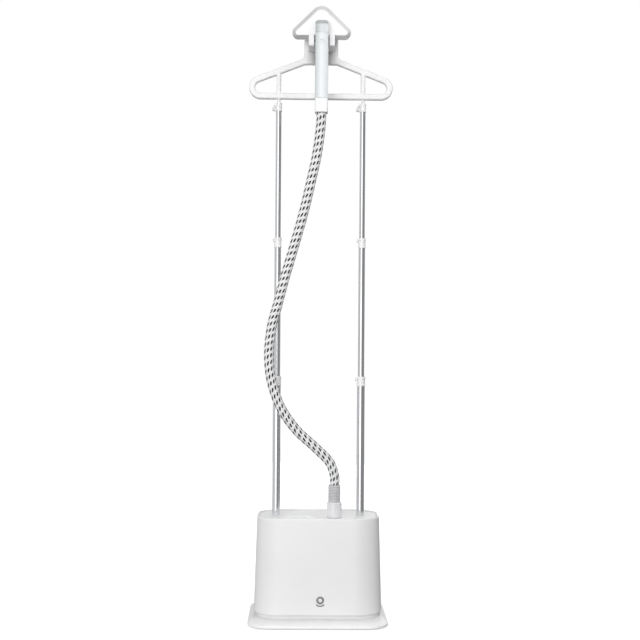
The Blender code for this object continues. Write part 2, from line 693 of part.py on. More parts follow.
# ---------------------------------------------------------------- hose union on the deck
def build_union():
    flange = DECK_TOP - DECK_THICK - GAP
    turned("hose_connector", [(SPIGOT_RADIUS, SPIGOT_TOP), (SPIGOT_RADIUS, flange),
                              (SPIGOT_RADIUS + 0.006, flange),
                              (SPIGOT_RADIUS + 0.006, flange - 0.003), (0.0085, flange - 0.003),
                              (0.0085, SPIGOT_BOTTOM), (SPIGOT_BORE, SPIGOT_BOTTOM),
                              (SPIGOT_BORE, SPIGOT_TOP)],
           finish("connector_grey", (0.6, 0.6, 0.62), 0.4), (NUT_X, NUT_Y, 0.0), ring=True)
    bore = HOSE_RADIUS + 2 * GAP
    base = DECK_TOP + GAP
    nut = turned("hose_nut", [(NUT_RADIUS - 0.0035, NUT_TOP), (NUT_RADIUS - 0.0012, NUT_TOP - 0.0016),
                              (NUT_RADIUS, NUT_TOP - 0.0045), (NUT_RADIUS, base + 0.006),
                              (NUT_RADIUS - 0.0010, base), (bore, base), (bore, NUT_TOP)],
                 finish("nut_grey", (0.72, 0.72, 0.73), 0.45), (NUT_X, NUT_Y, 0.0), ring=True)
    for i in range(12):
        angle = 2.0 * pi * i / 12
        x = NUT_X + (NUT_RADIUS + 0.0008) * cos(angle)
        y = NUT_Y + (NUT_RADIUS + 0.0008) * sin(angle)
        groove = rod(f"nut_groove_{i}", (x, y, base + 0.005), (x, y, NUT_TOP - 0.005), 0.0017, None, 6,
                     cutters)
        boolean(nut, groove)
    turned("hose_cuff", [(CUFF_RADIUS - 0.0012, CUFF_TOP), (CUFF_RADIUS, CUFF_TOP - 0.002),
                         (CUFF_RADIUS, NUT_TOP + 0.002), (CUFF_RADIUS - 0.001, NUT_TOP + GAP),
                         (bore, NUT_TOP + GAP), (bore, CUFF_TOP)],
           finish("cuff_weave", (0.62, 0.62, 0.64), 0.8), (NUT_X, NUT_Y, 0.0), ring=True)


# ---------------------------------------------------------------- hose
def build_hose():
    braid = finish("hose_braid", (0.78, 0.78, 0.78), 0.8)
    smooth_route = spline_points(HOSE_ROUTE, 0.0150)
    seam = min(range(len(smooth_route)), key=lambda i: abs(smooth_route[i].z - HOSE_SEAM_Z))
    joint = smooth_route[seam]
    after = (smooth_route[seam + 1] - joint).normalized()
    before = (joint - smooth_route[seam - 1]).normalized()
    lower = smooth_route[:seam] + [joint - before * GAP / 2]
    upper = [joint + after * GAP / 2] + smooth_route[seam + 1:]
    pipe("hose_lower", lower, HOSE_RADIUS, braid)
    pipe("hose_upper", upper, HOSE_RADIUS, braid)


# ---------------------------------------------------------------- mast
def build_clip(name, x, low, high, outer, inner, mat):
    """A collar that holds a tube's top end and grips the next tube, with ears for its lever."""
    rim = outer + GAP + CLIP_WALL
    seat = low + TUBE_SEAT + GAP
    top_rim = max(inner + GAP + 0.0022, rim - 0.0018)
    clip = turned(name, [(top_rim, high), (rim, high - 0.0025), (rim, low), (outer + GAP, low),
                         (outer + GAP, seat), (inner + GAP, seat), (inner + GAP, high)],
                  mat, (x, MAST_Y, 0.0), ring=True)
    pin_x = x - rim - 0.0016
    pin_z = high - 0.0060
    ear = rounded_polygon([(pin_x - EAR_RADIUS, pin_z - EAR_RADIUS, EAR_RADIUS),
                           (x - rim + 0.0006, pin_z - EAR_RADIUS, 0.0),
                           (x - rim + 0.0006, pin_z + EAR_RADIUS, 0.0),
                           (pin_x - EAR_RADIUS, pin_z + EAR_RADIUS, EAR_RADIUS)], radians(30.0))
    ears = plate(name + "_ears", [ear], MAST_Y - EAR_HALF_Y, MAST_Y + EAR_HALF_Y, None, True, cutters)
    ears_back = x - rim + 0.0006
    gap_box = block(name + "_slot", (pin_x - 0.01, MAST_Y - SLOT_HALF_Y, pin_z - 0.01),
                    (ears_back - 0.0004, MAST_Y + SLOT_HALF_Y, pin_z + 0.01), None, cutters)
    pin_hole = rod(name + "_pin_hole", (pin_x, MAST_Y - 0.01, pin_z), (pin_x, MAST_Y + 0.01, pin_z),
                   PIN_RADIUS + GAP, None, 10, cutters)
    boolean(ears, gap_box)
    boolean(ears, pin_hole)
    boolean(clip, ears, "UNION")
    return pin_x, pin_z, rim


def build_lever(name, x, low, pin_x, pin_z, rim, mat):
    """A D-shaped cam lever that hangs down against the collar."""
    near = x - rim - 2 * GAP
    top = pin_z - EAR_RADIUS - 2 * GAP
    foot = low + 0.0016
    paddle = rounded_polygon([(near, top, 0.0), (near, foot, 0.0008), (near - LEVER_PROUD, foot, 0.0022),
                              (near - LEVER_PROUD + 0.0008, (foot + top) / 2.0, 0.004),
                              (pin_x - 0.0018, top, 0.0)], radians(30.0))
    lever = plate(name, [paddle], MAST_Y - LEVER_HALF_Y, MAST_Y + LEVER_HALF_Y, mat, True)
    tongue = block(name + "_tongue", (pin_x - 0.0015, MAST_Y - SLOT_HALF_Y + GAP, top - 0.0015),
                   (pin_x + 0.0006, MAST_Y + SLOT_HALF_Y - GAP, pin_z + 0.0004), None, cutters)
    pin = rod(name + "_pin", (pin_x, MAST_Y - EAR_HALF_Y, pin_z), (pin_x, MAST_Y + EAR_HALF_Y, pin_z),
              PIN_RADIUS, None, 10, cutters)
    boolean(lever, tongue, "UNION")
    boolean(lever, pin, "UNION")
    pivot(lever, (pin_x, MAST_Y, pin_z))


def build_mast():
    polished = finish("pole_aluminium", STEEL, 0.18, 1.0)
    socket_grey = finish("socket_grey", (0.5, 0.5, 0.5), 0.6)
    clip_white = finish("clip_white", PURE_WHITE, 0.35)
    lever_grey = finish("lever_grey", (0.72, 0.72, 0.74), 0.4)
    socket_floor = PLATE_CROWN_TOP + GAP
    tube_bottom = socket_floor + 0.006
    bottoms = (tube_bottom, CLIP_TOPS[0] - TUBE_OVERLAP, CLIP_TOPS[1] - TUBE_OVERLAP)
    for side, sign in SIDES:
        x = sign * POLE_X
        bore = TUBE_RADII[0] + GAP
        mouth = socket_floor + SOCKET_DEPTH
        turned(f"pole_socket_{side}",
               [(0.0, tube_bottom - GAP), (bore, tube_bottom - GAP), (bore, mouth),
                (bore + SOCKET_WALL, mouth), (bore + SOCKET_WALL, socket_floor), (0.0, socket_floor)],
               socket_grey, (x, MAST_Y, 0.0))
        for i, stage in enumerate(STAGES):
            tube(f"tube_{stage}_{side}", TUBE_RADII[i], TUBE_WALLS[i], bottoms[i],
                 CLIP_BOTTOMS[i] + TUBE_SEAT, polished, x, MAST_Y)
            grip = TUBE_RADII[i + 1] if i < 2 else LEG_RADIUS
            pin_x, pin_z, rim = build_clip(f"clip_{stage}_{side}", x, CLIP_BOTTOMS[i], CLIP_TOPS[i],
                                           TUBE_RADII[i], grip, clip_white)
            build_lever(f"lever_{stage}_{side}", x, CLIP_BOTTOMS[i], pin_x, pin_z, rim, lever_grey)


# ---------------------------------------------------------------- hanger and cradle
def arm_edge(x, drop):
    """Height of an arm's upper edge at a distance x from the middle, or lower by drop across it."""
    tip = HANGER_HALF_W - HANGER_END_RADIUS + HANGER_END_RADIUS / tan(HANGER_SLOPE / 2.0)
    return BAR_BOTTOM + (tip - x) * tan(HANGER_SLOPE) - drop / cos(HANGER_SLOPE)


def mirrored(corners):
    """Corners of a right half, listed upward, closed by their mirror image."""
    return corners + [(-x, z, radius) for x, z, radius in reversed(corners)]


def build_hanger():
    tip = HANGER_HALF_W - HANGER_END_RADIUS + HANGER_END_RADIUS / tan(HANGER_SLOPE / 2.0)
    outer = mirrored([(tip, BAR_BOTTOM, HANGER_END_RADIUS),
                      (NECK_HALF_W, arm_edge(NECK_HALF_W, 0.0), 0.012),
                      (NECK_HALF_W, NECK_TOP, 0.008)])
    bar_top = BAR_BOTTOM + BAR_HEIGHT
    inner_edge = POLE_X - STRUT_HALF_W
    outer_edge = POLE_X + STRUT_HALF_W
    apex = (arm_edge(0.0, BAR_HEIGHT) - NECK_BOTTOM) / tan(HANGER_SLOPE)
    middle = mirrored([(inner_edge, bar_top, 0.003), (inner_edge, arm_edge(inner_edge, BAR_HEIGHT), 0.003),
                       (apex, NECK_BOTTOM, 0.012)])
    end_radius = HANGER_END_RADIUS - BAR_HEIGHT
    window_tip = HANGER_HALF_W - HANGER_END_RADIUS + end_radius / tan(HANGER_SLOPE / 2.0)
    right = [(outer_edge, bar_top, 0.003), (window_tip, bar_top, end_radius),
             (outer_edge, arm_edge(outer_edge, BAR_HEIGHT), 0.003)]
    left = [(-x, z, radius) for x, z, radius in reversed(right)]
    outlines = [rounded_polygon(corners) for corners in (outer, middle, right, left)]
    hanger = plate("hanger_frame", outlines, MAST_Y - HANGER_THICK / 2.0, MAST_Y + HANGER_THICK / 2.0,
                   finish("hanger_white", PURE_WHITE, 0.4), True)
    bevel(hanger, 0.0022)
    for side, sign in SIDES:
        shoulder = CLIP_TOPS[2] + 4 * GAP
        leg = turned(f"leg_{side}", [(0.0, BAR_BOTTOM + 0.005), (LEG_NECK_RADIUS, BAR_BOTTOM + 0.005),
                                     (LEG_NECK_RADIUS, shoulder), (LEG_RADIUS, shoulder - 0.002),
                                     (LEG_RADIUS, shoulder - LEG_LENGTH + 0.002),
                                     (LEG_RADIUS - 0.001, shoulder - LEG_LENGTH),
                                     (0.0, shoulder - LEG_LENGTH)],
                     None, (sign * POLE_X, MAST_Y, 0.0), collection=cutters)
        boolean(hanger, leg, "UNION")

    neck_front = MAST_Y - HANGER_THICK / 2.0 - GAP
    rest = HEAD_BOTTOM - 2 * GAP
    back = neck_front - CRADLE_BACK_WALL
    cradle = block("handset_cradle", (-CRADLE_OUTER, back, CRADLE_BOTTOM),
                   (CRADLE_OUTER, neck_front, rest), finish("cradle_white", PURE_WHITE, 0.4))
    prong_profile = [(back + 0.002, CRADLE_BOTTOM), (CRADLE_FRONT, CRADLE_BOTTOM),
                     (CRADLE_FRONT, CRADLE_LIP_TOP), (CRADLE_FRONT + CRADLE_LIP, CRADLE_LIP_TOP),
                     (CRADLE_FRONT + CRADLE_LIP, rest), (back + 0.002, rest)]
    for side, sign in SIDES:
        near, far = sorted((sign * CRADLE_INNER, sign * CRADLE_OUTER))
        sections = [[(x, y, z) for y, z in prong_profile] for x in (near, far)]
        prong = loft(f"prong_{side}", sections, None, collection=cutters)
        boolean(cradle, prong, "UNION")


# ---------------------------------------------------------------- handset
def build_handle():
    white = finish("handle_white", PURE_WHITE, 0.35)
    pearl = finish("handle_pearl", PEARL, 0.25, 0.2)
    panel_back = HANDLE_FRONT + PANEL_THICK
    body_top = HEAD_BOTTOM - GAP

    def grip(front, back, front_radius, back_radius):
        return rounded_polygon([(-HANDLE_HALF_W, front, front_radius), (HANDLE_HALF_W, front, front_radius),
                                (HANDLE_HALF_W, back, back_radius), (-HANDLE_HALF_W, back, back_radius)],
                               radians(22.5))

    bore = circle(0.0, BORE_Y, BORE_RADIUS, 20)
    body = plate("handle_body", [grip(panel_back + GAP, HANDLE_BACK, 0.0006, 0.010), bore],
                 COLLAR_TOP + GAP, body_top, white)
    panel = plate("handle_front_panel", [grip(HANDLE_FRONT, panel_back, 0.0015, 0.0005)],
                  COLLAR_TOP + GAP, PANEL_TOP, pearl)
    hole = rod("steam_button_hole", (0.0, HANDLE_FRONT - 0.01, STEAM_BUTTON_Z),
               (0.0, BORE_Y, STEAM_BUTTON_Z), STEAM_BUTTON_RADIUS + GAP, None, SMALL_STEPS, cutters)
    boolean(panel, hole)
    boolean(body, hole)
    collar = plate("handle_hose_collar", [grip(HANDLE_FRONT, HANDLE_BACK, 0.0040, 0.010), bore],
                   HANDLE_BOTTOM, COLLAR_TOP, white)
    bevel(collar, 0.0010, angle=radians(60.0))

    depth = 0.0050
    turned("steam_button", [(0.0, 0.0003), (STEAM_BUTTON_RADIUS - 0.0010, 0.0003),
                            (STEAM_BUTTON_RADIUS, -0.0003), (STEAM_BUTTON_RADIUS, -depth), (0.0, -depth)],
           finish("steam_button_grey", (0.78, 0.80, 0.83), 0.3),
           (0.0, HANDLE_FRONT, STEAM_BUTTON_Z), (pi / 2.0, 0.0, 0.0), SMALL_STEPS)

    duct_bottom = HOSE_ROUTE[-1][2] + 0.0030
    turned("steam_duct", [(DUCT_RADIUS, HEAD_BOTTOM + 0.010), (DUCT_RADIUS, duct_bottom + 0.003),
                          (BORE_RADIUS - 0.0007, duct_bottom + 0.003), (BORE_RADIUS - 0.0007, duct_bottom),
                          (DUCT_RADIUS - 0.0012, duct_bottom), (DUCT_RADIUS - 0.0012, HEAD_BOTTOM + 0.010)],
           finish("duct_silicone", (0.7, 0.7, 0.68), 0.5), (0.0, BORE_Y, 0.0), steps=SMALL_STEPS, ring=True)




def head_section(y, inset):
    outline = rounded_triangle(HEAD_HALF_W, HEAD_BOTTOM, HEAD_TOP, HEAD_RADIUS, HEAD_APEX_RADIUS,
                               inset)
    return [(x, y, z) for x, z in outline]


def build_head():
    white = finish("head_white", PURE_WHITE, 0.35)
    edge = HEAD_FRONT + HEAD_BEVEL_DEPTH
    rings = [(HEAD_FRONT, HEAD_BEVEL), (edge, 0.0008), (edge + 0.0015, 0.0),
             (HEAD_JOINT, 0.0), (HEAD_JOINT, HEAD_WALL), (edge + 0.0020, HEAD_WALL),
             (HEAD_FRONT + 0.0030, HEAD_BEVEL + 0.0010)]
    head = loft("head_shell", [head_section(y, i) for y, i in rings], white)
    body_top = HEAD_BOTTOM
    panel_back = HANDLE_FRONT + PANEL_THICK + GAP
    root_back = HANDLE_BACK + GAP
    root_profile = [(panel_back, body_top), (panel_back, PANEL_TOP + GAP), (HANDLE_FRONT, PANEL_TOP + GAP),
                    (HANDLE_FRONT + 0.008, ROOT_KNEE), (HEAD_FRONT + 0.0006, ROOT_TOP),
                    (HEAD_FRONT + 0.0016, ROOT_TOP), (root_back, HEAD_BOTTOM + 0.014),
                    (root_back, body_top)]
    sections = [[(x, y, z) for y, z in root_profile] for x in (-HANDLE_HALF_W, HANDLE_HALF_W)]
    root = loft("head_root", sections, None, collection=cutters)
    boolean(head, root, "UNION")
    riser = rod("riser_bore", (0.0, BORE_Y, HEAD_BOTTOM - 0.01), (0.0, BORE_Y, HEAD_BOTTOM + 0.016),
                DUCT_RADIUS + GAP, None, SMALL_STEPS, cutters)
    across = rod("cross_bore", (0.0, BORE_Y, HEAD_BOTTOM + 0.0125), (0.0, HEAD_JOINT, HEAD_BOTTOM + 0.0125),
                 0.0035, None, 10, cutters)
    boolean(head, riser)
    boolean(head, across)

    seal_rings = [(HEAD_JOINT - 0.0035, HEAD_WALL + GAP), (HEAD_JOINT, HEAD_WALL + GAP),
                  (HEAD_JOINT, HEAD_WALL + 0.0030), (HEAD_JOINT - 0.0035, HEAD_WALL + 0.0030)]
    loft("head_seal", [head_section(y, i) for y, i in seal_rings],
         finish("seal_silicone", (0.3, 0.3, 0.3), 0.7), ring=True)
    holes = []
    for z, half_count in ((HEAD_BOTTOM + 0.016, 3), (HEAD_BOTTOM + 0.032, 2), (HEAD_BOTTOM + 0.048, 1)):
        holes += [circle(i * 0.0140, z, 0.0016, 8) for i in range(-half_count, half_count + 1)]
    rim = [(x, z) for x, _, z in head_section(0.0, 0.0008)]
    plate("steam_plate", [rim, *holes], HEAD_JOINT + GAP, HEAD_BACK,
          finish("plate_metal", (0.8, 0.8, 0.8), 0.3, 1.0), True)


build_foot()
build_housing()
build_works()
build_union()
build_hose()
build_mast()
build_hanger()
build_handle()
build_head()
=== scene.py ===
"""Looks for the two-pole garment steamer: new visible pieces, finishes, light, floor and camera."""
import json
from math import acos, atan2, cos, pi, radians, sin, sqrt, tan
import bpy
from mathutils import Matrix, Vector

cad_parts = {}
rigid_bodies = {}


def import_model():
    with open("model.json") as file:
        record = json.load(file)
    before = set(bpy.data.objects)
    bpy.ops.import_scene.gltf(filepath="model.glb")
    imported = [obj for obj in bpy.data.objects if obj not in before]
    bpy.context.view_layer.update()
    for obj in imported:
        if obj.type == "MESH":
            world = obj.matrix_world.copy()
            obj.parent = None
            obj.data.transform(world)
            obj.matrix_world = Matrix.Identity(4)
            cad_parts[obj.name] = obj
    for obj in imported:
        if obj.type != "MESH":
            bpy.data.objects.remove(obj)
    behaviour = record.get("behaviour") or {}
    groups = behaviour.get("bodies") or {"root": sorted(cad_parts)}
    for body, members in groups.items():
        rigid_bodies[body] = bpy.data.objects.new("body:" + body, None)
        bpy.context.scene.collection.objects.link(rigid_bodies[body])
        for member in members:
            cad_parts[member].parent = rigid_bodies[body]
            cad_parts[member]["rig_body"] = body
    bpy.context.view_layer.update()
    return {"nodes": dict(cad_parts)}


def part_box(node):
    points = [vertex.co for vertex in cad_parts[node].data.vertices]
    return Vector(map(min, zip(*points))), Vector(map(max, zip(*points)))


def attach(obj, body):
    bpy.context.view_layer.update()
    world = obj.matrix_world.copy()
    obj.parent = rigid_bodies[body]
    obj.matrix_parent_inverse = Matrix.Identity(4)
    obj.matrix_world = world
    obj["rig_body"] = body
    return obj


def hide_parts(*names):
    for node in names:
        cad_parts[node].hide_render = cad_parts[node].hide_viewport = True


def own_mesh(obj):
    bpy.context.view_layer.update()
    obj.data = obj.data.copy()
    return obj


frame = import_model()
nodes = frame["nodes"]


# ---------------------------------------------------------------- places from the frame
class Span:
    """A node's box, with its middle and half sizes by name."""

    def __init__(self, node):
        low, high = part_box(node)
        self.x0, self.y0, self.z0 = low
        self.x1, self.y1, self.z1 = high
        self.cx, self.cy, self.cz = [(a + b) / 2.0 for a, b in zip(low, high)]
        self.half_w, self.half_d = (self.x1 - self.x0) / 2.0, (self.y1 - self.y0) / 2.0


shell = Span("base_shell")
foot = Span("foot_plate")
nut = Span("hose_nut")
cuff = Span("hose_cuff")
collar = Span("handle_hose_collar")
body = Span("handle_body")
panel = Span("handle_front_panel")
head = Span("head_shell")
head_seal = Span("head_seal")
hanger = Span("hanger_frame")
cradle = Span("handset_cradle")
lid = Span("filler_lid")
deck_top = lid.z1
mast_y = shell.cy
pole_x = Span("tube_lower_right").cx

HEAD_REACH = 0.0237         # the head's leaning face stands this far before the seal's rear
head_face = head_seal.y1 - HEAD_REACH
ROOT_TOP = 1.4510           # top of the root that joins the handle to the head
ROOT_KNEE = 1.4372          # where it starts to lean back
TINY = 0.00001              # closer than this is the same place
FACING = 0.99               # a direction's share of an axis from which it counts as along it
GAP = 0.0004                # play round a piece that sits in a hole


# ---------------------------------------------------------------- modelling helpers
def deselect():
    bpy.ops.object.select_all(action="DESELECT")


def take(obj):
    deselect()
    obj.select_set(True)
    bpy.context.view_layer.objects.active = obj


def edit():
    bpy.ops.object.mode_set(mode="EDIT")


def leave():
    bpy.ops.object.mode_set(mode="OBJECT")


def put(name, data):
    """A new object for this data, in the scene."""
    obj = bpy.data.objects.new(name, data)
    bpy.context.scene.collection.objects.link(obj)
    return obj


def pick_all():
    bpy.ops.mesh.select_all(action="SELECT")


def pick(obj, test, kind="FACE"):
    """Go into edit mode and select the faces or edges whose middle and direction pass the test."""
    if obj.mode != "EDIT":
        take(obj)
        edit()
    bpy.ops.mesh.select_mode(type=kind)
    bpy.ops.mesh.select_all(action="DESELECT")
    leave()
    mesh = obj.data
    if kind == "FACE":
        for face in mesh.polygons:
            face.select = test(face.center, face.normal)
    else:
        for edge in mesh.edges:
            a, b = (mesh.vertices[i].co for i in edge.vertices)
            edge.select = test((a + b) / 2.0, b - a)
    edit()


def apply_modifiers(obj):
    take(obj)
    for mod in list(obj.modifiers):
        bpy.ops.object.modifier_apply(modifier=mod.name)


def bevel(obj, width, segments=3, angle=35.0):
    mod = obj.modifiers.new("bevel", "BEVEL")
    mod.width = width
    mod.segments = segments
    mod.limit_method = "ANGLE"
    mod.angle_limit = radians(angle)
    apply_modifiers(obj)


def boolean(obj, tool, operation="DIFFERENCE"):
    """Cut, or join, one closed mesh with another, and drop the tool."""
    mod = obj.modifiers.new("boolean", "BOOLEAN")
    mod.operation = operation
    mod.solver = "EXACT"
    mod.object = tool
    apply_modifiers(obj)
    bpy.data.objects.remove(tool, do_unlink=True)


def place(obj, at=(0, 0, 0), turn=None):
    """Turn and move a piece built round the origin, and leave its place in its mesh."""
    if turn:
        obj.rotation_euler = turn
    obj.location = at
    take(obj)
    bpy.ops.object.transform_apply(location=True, rotation=True, scale=True)
    return obj


def outward(obj):
    take(obj)
    edit()
    pick_all()
    bpy.ops.mesh.remove_doubles(threshold=0.000005)
    bpy.ops.mesh.normals_make_consistent(inside=False)
    leave()
    return obj


def turned(profile, at=(0, 0, 0), turn=None, steps=64):
    """A ring carried along a profile of (radius, height).

    A profile that comes back to its first point closes on itself. One that starts and ends at
    radius 0 is capped flat.
    """
    points = [p for p in profile if p[0] > 0.0]
    capped = profile[0][0] == 0.0
    deselect()
    bpy.ops.mesh.primitive_circle_add(vertices=steps, radius=points[0][0],
                                      fill_type="NGON" if capped else "NOTHING")
    obj = bpy.context.object
    edit()
    bpy.ops.mesh.select_mode(type="VERT")
    pick_all()
    bpy.ops.transform.translate(value=(0, 0, points[0][1]))
    for (r0, z0), (r1, z1) in zip(points, points[1:]):
        bpy.ops.mesh.extrude_region_move(TRANSFORM_OT_translate={"value": (0, 0, z1 - z0)})
        bpy.ops.transform.resize(value=(r1 / r0, r1 / r0, 1), center_override=(0, 0, z1))
    leave()
    outward(obj)
    return place(obj, at, turn)


def plan(half_w, half_d, corner_w, corner_d, z, centre=(0.0, 0.0), segments=14):
    """A flat face with rounded corners, lying level and ready to be carried through its rings."""
    deselect()
    bpy.ops.mesh.primitive_plane_add(size=2.0)
    obj = bpy.context.object
    squeeze = corner_d / corner_w
    edit()
    pick_all()
    bpy.ops.transform.resize(value=(half_w * squeeze, half_d, 1), center_override=(0, 0, 0))
    bpy.ops.mesh.bevel(affect="VERTICES", offset=corner_d, segments=segments, profile=0.5)
    pick_all()
    bpy.ops.transform.resize(value=(1 / squeeze, 1, 1), center_override=(0, 0, 0))
    bpy.ops.transform.translate(value=(*centre, z))
    leave()
    return obj


def carry(obj, rings, centre=(0.0, 0.0)):
    """Extrude the selected end of a plan through rings of (height, half width, half depth)."""
    take(obj)
    edit()
    pick_all()
    for (z0, w0, d0), (z1, w1, d1) in zip(rings, rings[1:]):
        bpy.ops.mesh.extrude_region_move(TRANSFORM_OT_translate={"value": (0, 0, z1 - z0)})
        bpy.ops.transform.resize(value=(w1 / w0, d1 / d0, 1), center_override=(*centre, z1))
    leave()
    return obj


def slab(half_w, half_d, corner_w, corner_d, rings, centre=(0.0, 0.0), segments=14):
    """A closed piece: one plan shape through rings of (height, inset)."""
    z, inset = rings[0]
    obj = plan(half_w - inset, half_d - inset, corner_w - inset, corner_d - inset, z, centre,
               segments)
    carry(obj, [(z, half_w - i, half_d - i) for z, i in rings], centre)
    return outward(obj)


def brick(low, high, width=0.0, segments=3):
    """A block between two corners with all its edges rounded."""
    deselect()
    middle = [(a + b) / 2.0 for a, b in zip(low, high)]
    bpy.ops.mesh.primitive_cube_add(size=1.0, location=middle)
    obj = bpy.context.object
    obj.scale = [b - a for a, b in zip(low, high)]
    place(obj, middle)
    if width:
        bevel(obj, width, segments)
    return obj


def cylinder(radius, start, end, steps=32):
    """A plain round tool or pin between two points."""
    start, end = Vector(start), Vector(end)
    deselect()
    bpy.ops.mesh.primitive_cylinder_add(vertices=steps, radius=radius, depth=(end - start).length)
    turn = Vector((0, 0, 1)).rotation_difference(end - start).to_euler()
    return place(bpy.context.object, (start + end) / 2.0, turn)


def drill(obj, radius, start, end, steps=32):
    """Bore a round hole between two points."""
    boolean(obj, cylinder(radius, start, end, steps))


def drawn(outlines, low, high, rounding=0.0, steps=4, upright=True):
    """A flat piece from closed outlines, the later ones holes, with rounded edges.

    Upright pieces are drawn in XZ and run from low to high along Y.
    """
    curve = bpy.data.curves.new("outline", "CURVE")
    curve.dimensions = "2D"
    curve.fill_mode = "BOTH"
    curve.extrude = (high - low) / 2.0 - rounding
    curve.bevel_depth = rounding
    curve.bevel_resolution = steps
    curve.offset = -rounding
    for outline in outlines:
        spline = curve.splines.new("POLY")
        spline.points.add(len(outline) - 1)
        for point, (x, y) in zip(spline.points, outline):
            point.co = (x, y, 0.0, 1.0)
        spline.use_cyclic_u = True
    take(put("outline", curve))
    bpy.ops.object.convert(target="MESH")
    obj = bpy.context.object
    middle = (low + high) / 2.0
    place(obj, (0, middle, 0) if upright else (0, 0, middle), (pi / 2.0, 0, 0) if upright else None)
    return outward(obj)


def sideways(obj):
    """Turn a piece drawn in XZ, so that its outline lies in YZ and its length along X."""
    place(obj, (0, 0, 0), (0, 0, pi / 2.0))
    obj.scale = (-1, 1, 1)
    place(obj)
    return outward(obj)


def join(*objects):
    deselect()
    for obj in objects:
        obj.select_set(True)
    bpy.context.view_layer.objects.active = objects[0]
    bpy.ops.object.join()
    return bpy.context.object


def piece(obj, name, node, material, angle=35.0, even=True):
    """Name a finished piece, give it its finish, and let it ride for its CAD node."""
    obj.name = name
    obj.data.name = name
    take(obj)
    bpy.ops.object.shade_smooth_by_angle(angle=radians(angle))
    if even:
        mod = obj.modifiers.new("even", "WEIGHTED_NORMAL")
        mod.keep_sharp = True
        mod.weight = 80
        apply_modifiers(obj)
    obj.data.materials.clear()
    obj.data.materials.append(material)
    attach(obj, nodes[node]["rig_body"])
    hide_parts(node)


# ---------------------------------------------------------------- outlines
def arc(cx, cy, radius, start, end, steps):
    return [(cx + radius * cos(start + (end - start) * i / steps),
             cy + radius * sin(start + (end - start) * i / steps)) for i in range(steps + 1)]


def rounded(corners, arc_step=radians(7.0)):
    """Round each corner (x, y, radius) of a polygon with an arc tangent to its two sides."""
    points = []
    for i, (x, y, radius) in enumerate(corners):
        if radius == 0.0:
            points.append((x, y))
            continue
        here = Vector((x, y))
        back = (Vector(corners[i - 1][:2]) - here).normalized()
        on = (Vector(corners[(i + 1) % len(corners)][:2]) - here).normalized()
        half = back.angle(on) / 2.0
        centre = here + (back + on).normalized() * (radius / sin(half))
        first = here + back * (radius / tan(half)) - centre
        last = here + on * (radius / tan(half)) - centre
        begin = atan2(first.y, first.x)
        turn = atan2(first.x * last.y - first.y * last.x, first.dot(last))
        points += arc(*centre, radius, begin, begin + turn, max(3, round(abs(turn) / arc_step)))
    return points


# ---------------------------------------------------------------- finishes
class Nodes:
    """Short ways to add nodes to a node tree."""

    def node(self, kind, **settings):
        made = self.tree.nodes.new(kind)
        for setting, value in settings.items():
            setattr(made, setting, value)
        return made

    def give(self, socket, value):
        """Link a node's output into a socket, or set the socket to a plain value."""
        if isinstance(value, bpy.types.NodeSocket):
            self.tree.links.new(value, socket)
        else:
            socket.default_value = value

    def feed(self, made, **inputs):
        """Fill a node's sockets by name, with an underscore for a space."""
        for name, value in inputs.items():
            self.give(made.inputs[name.replace("_", " ")], value)
        return made

    def axes(self, source):
        """A vector's three parts, by axis."""
        return self.feed(self.node("ShaderNodeSeparateXYZ"), Vector=source).outputs

    def ramp(self, value, low, high, from_min=0.3, from_max=0.7, **settings):
        """A value moved from one range to another, without going past its ends."""
        made = self.node("ShaderNodeMapRange", **settings)
        self.feed(made, Value=value, From_Min=from_min, From_Max=from_max, To_Min=low, To_Max=high)
        return made.outputs["Result"]


class Finish(Nodes):
    """A Principled material."""

    def __init__(self, name, color, roughness, metallic=0.0, **sockets):
        self.mat = bpy.data.materials.new(name)
        self.mat.use_nodes = True
        self.tree = self.mat.node_tree
        self.shader = self.tree.nodes["Principled BSDF"]
        self.feed(self.shader, Base_Color=(*color, 1.0), Roughness=roughness, Metallic=metallic,
                  **sockets)
        self.place = self.node("ShaderNodeTexCoord").outputs["Object"]

    def math(self, operation, a, b=0.0):
        made = self.node("ShaderNodeMath", operation=operation)
        for socket, value in zip(made.inputs, (a, b)):
            self.give(socket, value)
        return made.outputs[0]

    def stretch(self, scale):
        made = self.feed(self.node("ShaderNodeMapping"), Vector=self.place, Scale=scale)
        return made.outputs[0]

    def noise(self, scale, detail=3.0, vector=None):
        made = self.node("ShaderNodeTexNoise")
        self.feed(made, Scale=scale, Detail=detail, Vector=vector or self.place)
        return made.outputs["Fac"]

    def mix(self, share, a, b):
        made = self.feed(self.node("ShaderNodeMix", data_type="RGBA"), Factor=share)
        for name, value in (("A", a), ("B", b)):
            socket = [s for s in made.inputs if s.name == name and s.type == "RGBA"][0]
            flat = not isinstance(value, bpy.types.NodeSocket)
            self.give(socket, (*value, 1.0) if flat else value)
        return [s for s in made.outputs if s.type == "RGBA"][0]

    def blend(self, value, a, b):
        """Mix by a noise or pattern, with its middle range drawn out."""
        return self.mix(self.ramp(value, 0.0, 1.0), a, b)

    def skin(self, low, high, grain):
        """Uneven gloss between two roughnesses, and a fine spark-eroded grain."""
        self.gloss(self.ramp(self.noise(60.0, 4.0), low, high))
        self.bump(self.noise(1800.0, 2.0), grain)

    def bump(self, height, strength, distance=0.0002):
        made = self.feed(self.node("ShaderNodeBump"), Height=height, Strength=strength,
                         Distance=distance)
        self.feed(self.shader, Normal=made.outputs["Normal"])

    def paint(self, color):
        self.feed(self.shader, Base_Color=color)

    def gloss(self, value):
        self.feed(self.shader, Roughness=value)


